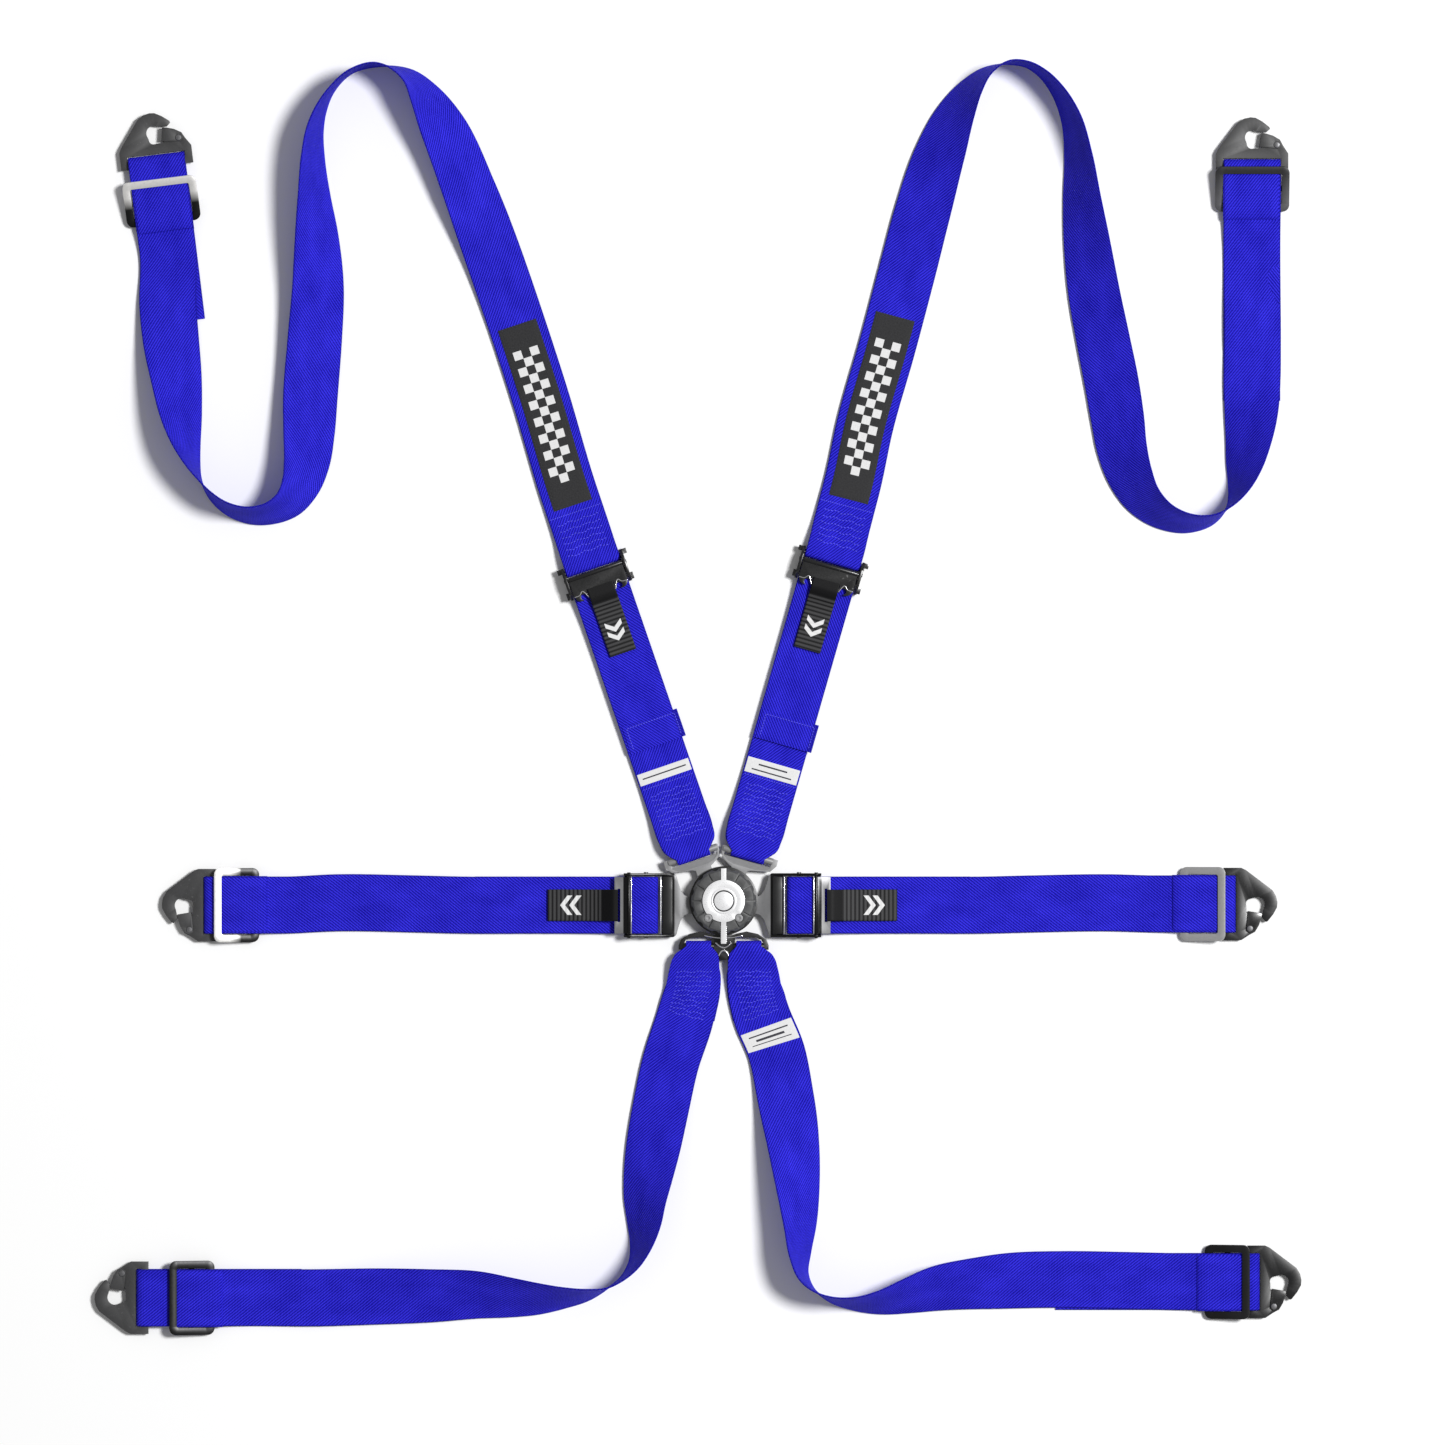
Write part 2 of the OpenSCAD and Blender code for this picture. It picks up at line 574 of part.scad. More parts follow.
module latch_spring() {
    color(bright) {
        translate([0, 0, 5.5])
            linear_extrude(0.8)
                difference() {
                    union() {
                        circle(r = 9);
                        for (p = PEGS) rotate(atan2(p.y, p.x)) translate([0, -2.4]) square([norm(p) + 1, 4.8]);
                        for (p = PEGS) translate(p) circle(r = 2.9);
                    }
                    circle(r = spindle_r + 0.6);
                }
        for (p = PEGS) translate([p.x, p.y, 6]) cylinder(h = 4.2, r = 2);
    }
}
// The cam under the roof of the housing turns with the knob and frees the tongues
module release_cam() {
    color(bright)
        difference() {
            union() {
                translate([0, 0, 11.3]) cylinder(h = 1.6, r = 10);
                translate([0, 0, 12]) cylinder(h = 6, r = 7);
                for (a = [0:72:288]) rotate(a + 18) translate([10, 0, 11.3]) cylinder(h = 1.6, r = 3);
            }
            translate([0, 0, 5]) cylinder(h = 20, r = spindle_r + clear);
        }
}
module knob_ring() {
    top = 22;
    color(dark)
        difference() {
            union() {
                translate([0, 0, 15.4]) cylinder(h = 4.4, r = knob_r, $fn = 96);
                translate([0, 0, 19.8]) cylinder(h = 2.2, r1 = knob_r, r2 = knob_r - 2.5, $fn = 96);
            }
            for (a = [15:30:345]) rotate(a) translate([knob_r + 2.6, 0, 15]) cylinder(h = 8, r = 4);
            for (a = [0:30:330]) rotate(a) translate([disc_r + 1.5, -0.7, top - 1.5]) cube([12, 1.4, 2]);
            translate([0, 0, top - 2.4]) cylinder(h = 3, r = disc_r + 0.3, $fn = 96);
            translate([-2.6, -knob_r - 2, top - 2.4]) cube([5.2, 2 * knob_r + 4, 3]);
            for (x = [-13.5, 13.5]) translate([x, -15, top - 1.2]) cylinder(h = 3, r = 3.7);
            for (x = [-13.5, 13.5]) translate([x, -15, 15]) cylinder(h = 8, r = 1.6);
            translate([0, 0, 15]) cylinder(h = 8, r = 7.05);
        }
}
module knob_lever() {
    color(bright)
        difference() {
            union() {
                translate([0, 0, 19.7]) cylinder(h = 4, r = disc_r, $fn = 96);
                translate([-2.3, -37.4, 19.7]) cube([4.6, 65.8, 3.6]);
                for (y = [-36:1.6:-22]) translate([-2.7, y, 19.9]) cube([5.4, 0.8, 2.6]);
            }
            translate([0, 0, 22.6]) cylinder(h = 3, r = 11.05);
            for (x = [-13.5, 13.5]) translate([x, -15, 19]) cylinder(h = 6, r = 3.8);
        }
}
module knob_cap() {
    color(bright)
        difference() {
            translate([0, 0, 22.65]) cylinder(h = 1.9, r = 11);
            translate([0, 0, 24.1])
                difference() {
                    cylinder(h = 1, r = 9.4);
                    cylinder(h = 3, r = 8.2, center = true);
                }
        }
}
module knob_screws() {
    color(bright)
        for (x = [-13.5, 13.5])
            translate([x, -15, 15.8]) {
                cylinder(h = 5.2, r = 1.5);
                translate([0, 0, 5.05])
                    difference() {
                        cylinder(h = 1.9, r = 3.35);
                        translate([0, 0, 1.2]) cylinder(h = 1, r = 1.5, $fn = 6);
                    }
            }
}

// ---- Nodes ---------------------------------------------------------------

buckle_back_plate();
buckle_housing();
housing_screws();
latch_spring();
release_cam();
knob_ring();
knob_lever();
knob_cap();
knob_screws();
shoulder_tongue(0);  // left_shoulder_tongue
shoulder_tongue(1);  // right_shoulder_tongue
lap_tongue(0);  // left_lap_tongue
lap_tongue(1);  // right_lap_tongue
crotch_tongue();
lower_shoulder_webbing(0);  // left_lower_shoulder_webbing
lower_shoulder_webbing(1);  // right_lower_shoulder_webbing
shoulder_adjuster(0);  // left_shoulder_adjuster
shoulder_adjuster(1);  // right_shoulder_adjuster
shoulder_lock_bar(0);  // left_shoulder_lock_bar
shoulder_lock_bar(1);  // right_shoulder_lock_bar
lap_roller(0);  // left_lap_roller
lap_roller(1);  // right_lap_roller
shoulder_lever(0);  // left_shoulder_lever
shoulder_lever(1);  // right_shoulder_lever
lap_lever(0);  // left_lap_lever
lap_lever(1);  // right_lap_lever
shoulder_pull_tab(0);  // left_shoulder_pull_tab
shoulder_pull_tab(1);  // right_shoulder_pull_tab
lap_pull_tab(0);  // left_lap_pull_tab
lap_pull_tab(1);  // right_lap_pull_tab
hook_webbing(0);  // left_shoulder_webbing
hook_webbing(1);  // right_shoulder_webbing
hook_webbing(2);  // left_lap_webbing
hook_webbing(3);  // right_lap_webbing
hook_webbing(4);  // left_leg_webbing
hook_webbing(5);  // right_leg_webbing
slide(0);  // left_shoulder_slide
slide(1);  // right_shoulder_slide
slide(2);  // left_lap_slide
slide(3);  // right_lap_slide
slide(4);  // left_leg_slide
slide(5);  // right_leg_slide
snap_hook(0);  // left_shoulder_hook
snap_hook(1);  // right_shoulder_hook
snap_hook(2);  // left_lap_hook
snap_hook(3);  // right_lap_hook
snap_hook(4);  // left_leg_hook
snap_hook(5);  // right_leg_hook
gate(0);  // left_shoulder_gate
gate(1);  // right_shoulder_gate
gate(2);  // left_lap_gate
gate(3);  // right_lap_gate
gate(4);  // left_leg_gate
gate(5);  // right_leg_gate
gate_rivet(0);  // left_shoulder_rivet
gate_rivet(1);  // right_shoulder_rivet
gate_rivet(2);  // left_lap_rivet
gate_rivet(3);  // right_lap_rivet
gate_rivet(4);  // left_leg_rivet
gate_rivet(5);  // right_leg_rivet
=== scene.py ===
import math
import random
from collections import namedtuple

import bpy
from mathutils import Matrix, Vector, noise


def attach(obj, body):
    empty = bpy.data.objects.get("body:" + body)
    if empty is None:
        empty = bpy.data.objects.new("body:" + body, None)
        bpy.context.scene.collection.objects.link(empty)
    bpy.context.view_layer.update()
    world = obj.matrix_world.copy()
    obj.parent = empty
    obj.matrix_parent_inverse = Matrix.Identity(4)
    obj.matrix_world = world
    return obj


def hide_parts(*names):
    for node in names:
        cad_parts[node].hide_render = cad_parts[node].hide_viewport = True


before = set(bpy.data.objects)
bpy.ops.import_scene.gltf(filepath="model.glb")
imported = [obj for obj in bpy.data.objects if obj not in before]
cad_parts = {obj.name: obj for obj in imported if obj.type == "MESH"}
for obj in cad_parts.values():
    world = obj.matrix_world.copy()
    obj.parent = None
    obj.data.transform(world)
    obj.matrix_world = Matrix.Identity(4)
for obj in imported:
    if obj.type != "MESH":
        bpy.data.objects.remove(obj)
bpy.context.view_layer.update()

# Lengths are in millimetres until a mesh is made, and angles are in degrees, turned about Z from X.
MM = 0.001
SIDES = ("left", "right")

# The webbing's width and thickness, and the height of its middle on its loose stretches
WEB_W, WEB_T, WEB_LIFT = 50.0, 1.5, 2.8
# How much lower a strap on edge stands than one that lies on its own tail
ON_EDGE_DROP = 2.4
# Bars and slots that the webbing turns round: the height of their middle, and the loop's radius
TONGUE_Z, TONGUE_LOOP_R = 9.0, 4.2
HOOK_Z, HOOK_LOOP_R = 5.3, 4.45
LOCK_BAR_Z, LOCK_LOOP_R = 7, 3.2
ROLLER_HALF, ROLLER_LOOP_R = 6, 3.9
# A shoulder adjuster's lock bar lies this far from the tongue, and its fixed bar this much further
ADJUSTER_S, FIXED_BAR_U = 256, 13

# Where each strap leaves the buckle: the middle of its tongue's bar or roller, and the strap's heading
Anchor = namedtuple("Anchor", "x y heading")
SHOULDER = [Anchor(-27, 40, 109), Anchor(21.5, 40, 74)]
UPPER_HEADING = [108.5, 75.5]
LAP = [Anchor(-68, -4, 180), Anchor(66, -4, 0)]
LEG = [Anchor(-22, -40, 270), Anchor(22, -40, 270)]

# The far ends: the hook's slot, the slide's distance from it, the tail's reach, and the strap's tilt
Hook = namedtuple("Hook", "x y heading slide_gap tail_reach tilt")
NAMES = ["left_shoulder", "right_shoulder", "left_lap", "right_lap", "left_leg", "right_leg"]
STRAP_BODY = ["left_shoulder", "right_shoulder", "buckle", "right_lap", "crotch", "crotch"]
HOOK = [
    Hook(-496.5, 646, 97, 14, 140, 0),
    Hook(463, 642, 90, -1, 204, 0),
    Hook(-448, -4, 180, 1.6, 70, 0),
    Hook(441, -3, 0, 1.6, 70, 0),
    Hook(-507, -348, 180, 21.5, 137, 180),
    Hook(462, -334, 0, 1.2, 171, -180),
]

# The loose middle of each strap: x, y and tilt, where a tilt of 90 stands the strap on edge
ROUTES = [
    [(-160, 439, 0), (-182, 507, 0), (-204, 571, 6), (-222, 620, 20), (-247, 680, 38),
     (-262, 706, 58), (-276, 722, 74), (-303, 731, 90), (-326, 725, 90), (-342, 710, 92),
     (-352, 692, 98), (-357, 675, 104), (-359, 649, 112), (-358, 617, 122), (-356, 584, 136),
     (-355, 538, 152), (-358, 492, 160), (-362, 439, 160), (-363, 408, 151), (-365, 382, 140),
     (-371, 361, 128), (-381, 347, 119), (-396, 339, 111), (-414, 337, 106), (-436, 344, 101),
     (-450, 356, 96), (-459, 370, 88), (-464, 382, 78), (-469, 398, 65), (-474, 422, 48),
     (-479, 457, 30), (-484, 490, 14), (-487, 520, 4)],
    [(124, 417, 0), (143, 484, 0), (160, 548, -3), (174, 602, -12), (190, 656, -30),
     (204, 691, -50), (217, 712, -66), (231, 726, -79), (250, 733, -90), (266, 731, -92),
     (279, 723, -95), (292, 708, -100), (303, 686, -107), (310, 651, -117), (313, 617, -128),
     (318, 574, -142), (324, 533, -152), (332, 492, -157), (340, 452, -159), (345, 421, -156),
     (349, 394, -148), (356, 371, -139), (368, 350, -127), (386, 336, -116), (409, 330, -107),
     (429, 334, -98), (442, 345, -88), (450, 361, -71), (455, 380, -54), (459, 402, -40),
     (462, 430, -22), (463, 456, -8)],
    [(-270, -3, 0), (-340, -2, 0)],
    [(270, -3, 0), (340, -2, 0)],
    [(-33, -100, 0), (-47, -144, 3), (-55, -181, 8), (-61, -212, 16), (-66, -240, 30),
     (-69, -262, 42), (-70, -283, 54), (-73, -302, 68), (-79, -318, 80), (-89, -330, 88),
     (-101, -338, 93), (-118, -344, 104), (-140, -347, 115), (-163, -348, 127),
     (-186, -347, 137), (-212, -345, 148), (-257, -346, 162), (-310, -347, 174), (-345, -348, 180)],
    [(33, -100, 0), (46, -132, 0), (54, -171, -6), (61, -213, -24), (65, -250, -40),
     (67, -284, -55), (67, -310, -68), (70, -328, -80), (79, -340, -90), (93, -348, -98),
     (113, -352, -106), (137, -351, -118), (159, -346, -130), (182, -340, -143),
     (222, -335, -158), (250, -333, -170), (300, -332, -176), (350, -333, -180)],
]
rng = random.Random(7)


# ---- Strap paths, as the CAD model lays them ------------------------------

LOOP_STEPS = 12
PATH_STEP = 3.0


def along(p, s, z, a, tilt=0.0, w=WEB_W):
    """A point of a strap, s along the heading a from p: x, y, z, tilt, width, heading."""
    t = math.radians(a)
    return (p[0] + s * math.cos(t), p[1] + s * math.sin(t), z, tilt, w, a)


def loop_round(p, a, s, z, r, rising, side, tilt=0.0, w=WEB_W, reach=1.0):
    """Half a turn round a bar, up or down, on its far side (1) or near side (-1), stretched by reach."""
    first, last = (-90, 90) if rising else (90, -90)
    turn = [math.radians(first + (last - first) * i / LOOP_STEPS) for i in range(LOOP_STEPS + 1)]
    return [along(p, s + side * r * reach * math.cos(t), z + r * math.sin(t), a, tilt, w) for t in turn]


def loose(route):
    """A stretch whose heading follows from its points."""
    return [(x, y, WEB_LIFT, tilt, WEB_W, None) for x, y, tilt in route]


def hook_end(h):
    """A strap over its slide, round the hook's slot and back under itself."""
    over = [(62, 3.3), (51, 4.8), (42, 7.1), (36.5, 8.2), (30, 8.8), (20, 9.2), (9, 9.2), (4, 9.45)]
    out = [along(h, -(h.slide_gap + s), z, h.heading, h.tilt) for s, z in over]
    if h.slide_gap > 5:
        out.append(along(h, -4, HOOK_Z + HOOK_LOOP_R - 0.05, h.heading, h.tilt))
    out += loop_round(h, h.heading, 0, HOOK_Z, HOOK_LOOP_R, False, 1, h.tilt, reach=1.55)
    under = [(6, 0.9), (20, 1.1), (h.tail_reach - 12, 1.1), (h.tail_reach, 1.2)]
    return out + [along(h, -s, z, h.heading, h.tilt) for s, z in under]


def shoulder_start(i):
    """An upper shoulder strap, sewn round its adjuster's fixed bar."""
    low, up = SHOULDER[i].heading, UPPER_HEADING[i]
    bar = along(SHOULDER[i], ADJUSTER_S + FIXED_BAR_U, 0, low)
    out = [along(bar, u, z, up) for u, z in [(46, 1.6), (30, 1.8)]]
    out += [along(bar, u, z, low) for u, z in [(12, 3), (5, 3.75)]]
    out += loop_round(bar, low, 0, LOCK_BAR_Z, LOCK_LOOP_R, True, -1)
    out += [along(bar, u, z, low) for u, z in [(5, 10.1), (12, 9)]]
    return out + [along(bar, u, z, up) for u, z in [(30, 5), (46, 3.9), (70, 3.2)]]


def lap_start(i):
    """A lap strap from its tail, round the adjuster's roller and back over the tail."""
    p, a = LAP[i], LAP[i].heading
    under = [(150, 1.3), (100, 1.3), (60, 1.5), (30, 2.7), (14, 4.5), (6, 5.1)]
    over = [(6, 12.9), (10, 12.6), (16, 11), (26, 8.4), (40, 6), (60, 4.4), (100, 3.5), (160, 3.3)]
    return ([along(p, u, z, a) for u, z in under]
            + loop_round(p, a, -ROLLER_HALF, TONGUE_Z, ROLLER_LOOP_R, True, -1)
            + [along(p, u, z, a) for u, z in over])


def leg_start(i):
    """A leg strap, gathered round the crotch tongue's bar. Each row: along, z, width, sideways."""
    p, a = LEG[i], LEG[i].heading
    out = math.copysign(1, p.x)
    under = [(66, 1.4, 50, 11), (40, 1.6, 50, 6), (20, 3.2, 40, 1.5), (7, 4.7, 26, 0)]
    over = [(2.5, 13.2, 28, 0.6), (6, 13.0, 36, 1.6), (10, 12.3, 40, 2.4), (20, 9.4, 44, 3.6),
            (34, 5.6, 47, 5)]

    def spread(rows):
        return [along((p.x + out * e, p.y), u, z, a, 0, w) for u, z, w, e in rows]

    return spread(under) + loop_round(p, a, 0, TONGUE_Z, TONGUE_LOOP_R, True, -1, 0, 22) + spread(over)


def lower_shoulder(i):
    """A lower shoulder strap: round the tongue's bar, up to the adjuster's lock bar and back on itself."""
    p, a = SHOULDER[i], SHOULDER[i].heading
    under = [(62, 2.2, 50), (40, 2.4, 50), (20, 3.3, 50), (7, 4.7, 44)]
    over = [(2, 13.2, 34), (5, 13.1, 40), (9, 12.6, 44.5), (14, 11.6, 48), (22, 10, 50), (40, 6.6, 50),
            (62, 4.5, 50), (100, 4.1, 50), (150, 4.1, 50), (200, 4, 50), (240, 3.9, 50), (250, 3.8, 50)]
    back = [(250, 9.9), (240, 8.4), (226, 6.9), (205, 6.2), (150, 6.2), (101, 6.2)]
    out = [along(p, u, z, a, 0, w) for u, z, w in under]
    out += loop_round(p, a, 0, TONGUE_Z, TONGUE_LOOP_R, True, -1, 0, 30)
    out += [along(p, u, z, a, 0, w) for u, z, w in over]
    out += loop_round(p, a, ADJUSTER_S, LOCK_BAR_Z, LOCK_LOOP_R, True, 1)
    return out + [along(p, u, z, a) for u, z in back]


def headed(points):
    """The same points with the heading as a direction: x, y, z, tilt, width, direction x, direction y."""
    out = []
    for i, q in enumerate(points):
        if q[5] is None:
            a, b = points[max(i - 1, 0)], points[min(i + 1, len(points) - 1)]
            d = Vector((b[0] - a[0], b[1] - a[1])).normalized()
        else:
            d = Vector((math.cos(math.radians(q[5])), math.sin(math.radians(q[5]))))
        out.append(list(q[:5]) + [d.x, d.y])
    return out


def smooth(keys, step):
    """A cubic curve through the keys, with a point about every step."""
    def gap(a, b):
        return max(0.2, math.dist(a[:3], b[:3]))

    def slope(p, q, r):
        d0, d1 = gap(p, q), gap(q, r)
        return [(y - x) / d0 - (z - x) / (d0 + d1) + (z - y) / d1 for x, y, z in zip(p, q, r)]

    out = []
    for i in range(len(keys) - 1):
        a, b = keys[i], keys[i + 1]
        d = gap(a, b)
        n = math.ceil(d / step)
        flat = [(y - x) / d for x, y in zip(a, b)]
        ma = flat if i == 0 else slope(keys[i - 1], a, b)
        mb = flat if i == len(keys) - 2 else slope(a, b, keys[i + 2])
        for j in range(n):
            t = j / n
            h = (2 * t**3 - 3 * t**2 + 1, (t**3 - 2 * t**2 + t) * d, 3 * t**2 - 2 * t**3, (t**3 - t**2) * d)
            out.append([h[0] * p + h[1] * m + h[2] * q + h[3] * k for p, m, q, k in zip(a, ma, b, mb)])
    out.append(list(keys[-1]))
    return out


class Strap:
    """The frames along a strap: centre, run, across and normal at each distance s from its start."""

    def __init__(self, points):
        path = smooth(headed(points), PATH_STEP)
        self.centre, self.across, self.run, self.normal, self.s, self.width = [], [], [], [], [0.0], []
        for q in path:
            d = Vector((q[5], q[6])).normalized()
            t = math.radians(q[3])
            self.across.append(Vector((-d.y * math.cos(t), d.x * math.cos(t), math.sin(t))))
            settled = ON_EDGE_DROP * math.sin(t) ** 2
            self.centre.append(Vector((q[0], q[1], q[2] + q[4] / 2 * abs(math.sin(t)) - settled)))
            self.width.append(q[4])
        last = len(path) - 1
        for i in range(last + 1):
            run = (self.centre[min(i + 1, last)] - self.centre[max(i - 1, 0)]).normalized()
            self.run.append(run)
            self.normal.append(run.cross(self.across[i]).normalized())
            if i:
                self.s.append(self.s[-1] + (self.centre[i] - self.centre[i - 1]).length)
        self.length = self.s[-1]

    def at(self, s):
        """Centre, run, across and normal at the distance s."""
        s = min(max(s, 0), self.length)
        i = max(1, next((k for k, v in enumerate(self.s) if v >= s), len(self.s) - 1))
        t = (s - self.s[i - 1]) / max(1e-6, self.s[i] - self.s[i - 1])
        mix = [f[i - 1].lerp(f[i], t) for f in (self.centre, self.run, self.across, self.normal)]
        return mix[0], mix[1].normalized(), mix[2].normalized(), mix[3].normalized()

    def near(self, x, y):
        """The distance s of the upper layer's point that is nearest to x, y from above."""
        spot = Vector((x, y))
        best = min(range(len(self.s)),
                   key=lambda k: (self.centre[k].xy - spot).length - 0.8 * self.centre[k].z)
        return self.s[best]

    def point(self, s, v, h):
        """The point at s, v across and h above the face that looks up."""
        c, run, w, n = self.at(s)
        up = 1 if n.z >= 0 else -1
        return c + w * v + n * up * (WEB_T / 2 + h)


# ---- Meshes ---------------------------------------------------------------

def make(name, verts, faces, material, body, cloth=None, sharp=None):
    """A piece that rides on a body. cloth gives each vertex its place on the flat cloth, in mm."""
    mesh = bpy.data.meshes.new(name)
    mesh.from_pydata([Vector(v) * MM for v in verts], [], faces)
    mesh.validate()
    mesh.shade_smooth()
    if sharp:
        mesh.set_sharp_from_angle(angle=math.radians(sharp))
    if cloth:
        mesh.attributes.new("cloth", "FLOAT_VECTOR", "POINT").data.foreach_set(
            "vector", [c for v in cloth for c in v])
    obj = bpy.data.objects.new(name, mesh)
    bpy.context.scene.collection.objects.link(obj)
    mesh.materials.append(material)
    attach(obj, body)
    return obj


def tube_faces(rings, size):
    """The faces of a closed tube whose rings have size points each, with both ends capped."""
    faces = []
    for i in range(rings - 1):
        for j in range(size):
            a, b = i * size + j, i * size + (j + 1) % size
            faces.append((a, a + size, b + size, b))
    faces.append(tuple(range(size)))
    faces.append(tuple(reversed(range((rings - 1) * size, rings * size))))
    return faces


# The webbing's cross-section, in half widths and half thicknesses: its upper half, then the lower
SECTION = [(-1, 0), (-0.992, 0.62), (-0.97, 0.95), (-0.93, 1.0), (-0.7, 0.92), (-0.35, 0.97), (0, 1.0),
           (0.35, 0.97), (0.7, 0.92), (0.93, 1.0), (0.97, 0.95), (0.992, 0.62), (1, 0)]
SECTION = SECTION + [(x, -y) for x, y in reversed(SECTION[1:-1])]
# A cut end is pressed thin over a short stretch, and the selvedges waver a little
CUT_END, CUT_THIN, SELVEDGE_FUZZ = 0.7, 0.55, 0.06


def web_mesh(strap):
    """Webbing with round selvedges. The outline closes over each cut end."""
    verts, cloth = [], []
    for i, s in enumerate(strap.s):
        half_w, half_t = strap.width[i] / 2, WEB_T / 2
        if min(s, strap.length - s) < CUT_END:
            half_t *= CUT_THIN
        for x, y in SECTION:
            fuzz = SELVEDGE_FUZZ * noise.noise(Vector((s * 0.35, x * 4, y)))
            across, normal = strap.across[i], strap.normal[i]
            verts.append(strap.centre[i] + across * x * (half_w + fuzz) + normal * y * half_t)
            cloth.append((s, x * half_w, y))
    return verts, tube_faces(len(strap.s), len(SECTION)), cloth


def patch_mesh(strap, s0, s1, v0, v1, lift, thick, ns, nv, relief=None):
    """A closed sheet that follows the strap's upper face, with thin rims. relief raises its top along s."""
    verts, cloth = [], []
    for top in (0, 1):
        for i in range(ns + 1):
            for j in range(nv + 1):
                a, b = i / ns, j / nv
                v = v0 + (v1 - v0) * b
                s = s0 + (s1 - s0) * a
                rim = min(a * abs(s1 - s0), (1 - a) * abs(s1 - s0), b * abs(v1 - v0), (1 - b) * abs(v1 - v0))
                h = lift + (thick * min(1.0, 0.55 + rim * 0.6) if top else 0)
                if top and relief:
                    h += relief(s - s0)
                verts.append(strap.point(s, v, h))
                cloth.append(((s1 - s0) * a, v, top))
    row, base = nv + 1, (ns + 1) * (nv + 1)
    faces = []
    for i in range(ns):
        for j in range(nv):
            q = (i * row + j, i * row + j + 1, (i + 1) * row + j + 1, (i + 1) * row + j)
            faces += [q, tuple(base + k for k in reversed(q))]
    rim = ([(i, 0) for i in range(ns)] + [(ns, j) for j in range(nv)]
           + [(i, nv) for i in range(ns, 0, -1)] + [(0, j) for j in range(nv, 0, -1)])
    rim = [i * row + j for i, j in rim]
    for a, b in zip(rim, rim[1:] + rim[:1]):
        faces.append((a, a + base, b + base, b))
    return verts, faces, cloth


THREAD_SIDES, STITCH_LENGTH, STITCH_HEIGHT = 6, 2.3, 0.5


def thread(verts, faces, centre, run, side, normal, length, width):
    """One stitch: a short raised grain of thread, with a point at each end."""
    base = len(verts)
    for k, r in ((-0.5, 0.0), (-0.3, 1.0), (0.3, 1.0), (0.5, 0.0)):
        for j in range(THREAD_SIDES if r else 1):
            t = 2 * math.pi * j / THREAD_SIDES
            rise = STITCH_HEIGHT * 0.5 * r * math.sin(t) + (0 if r else -STITCH_HEIGHT * 0.3)
            verts.append(centre + run * k * length + side * r * width / 2 * math.cos(t) + normal * rise)
    a, b = base, base + 1
    c = b + THREAD_SIDES
    d = c + THREAD_SIDES
    for j in range(THREAD_SIDES):
        k = (j + 1) % THREAD_SIDES
        faces += [(a, b + k, b + j), (b + j, b + k, c + k, c + j), (c + j, c + k, d)]


def stitch_line(verts, faces, strap, p, q, pitch, lift=0.15, width=0.8):
    """Stitches from p to q, each an (s, v) on the strap's upper face. Wide coarse rows waver."""
    total = math.dist(p, q)
    n = max(1, round(total / pitch))
    for i in range(n):
        t = (i + 0.5) / n
        s, v = p[0] + (q[0] - p[0]) * t, p[1] + (q[1] - p[1]) * t
        e = 0.5 / max(total, 1)
        if abs(q[1] - p[1]) > 30 and pitch > 2.5:
            s += 0.7 * math.sin(v * 0.45 + p[0]) + rng.uniform(-0.3, 0.3)
        a = strap.point(s - (q[0] - p[0]) * e, v - (q[1] - p[1]) * e, lift)
        b = strap.point(s + (q[0] - p[0]) * e, v + (q[1] - p[1]) * e, lift)
        run = (b - a).normalized()
        normal = strap.at(s)[3]
        normal = normal if normal.z >= 0 else -normal
        thread(verts, faces, (a + b) / 2, run, normal.cross(run).normalized(), normal,
               min(STITCH_LENGTH, total / n * 0.8), width)


# ---- Materials ------------------------------------------------------------

def rgba(value):
    """A colour of three numbers with its alpha. Anything else is left as it is."""
    return tuple(value) + (1,) if isinstance(value, tuple) and len(value) == 3 else value


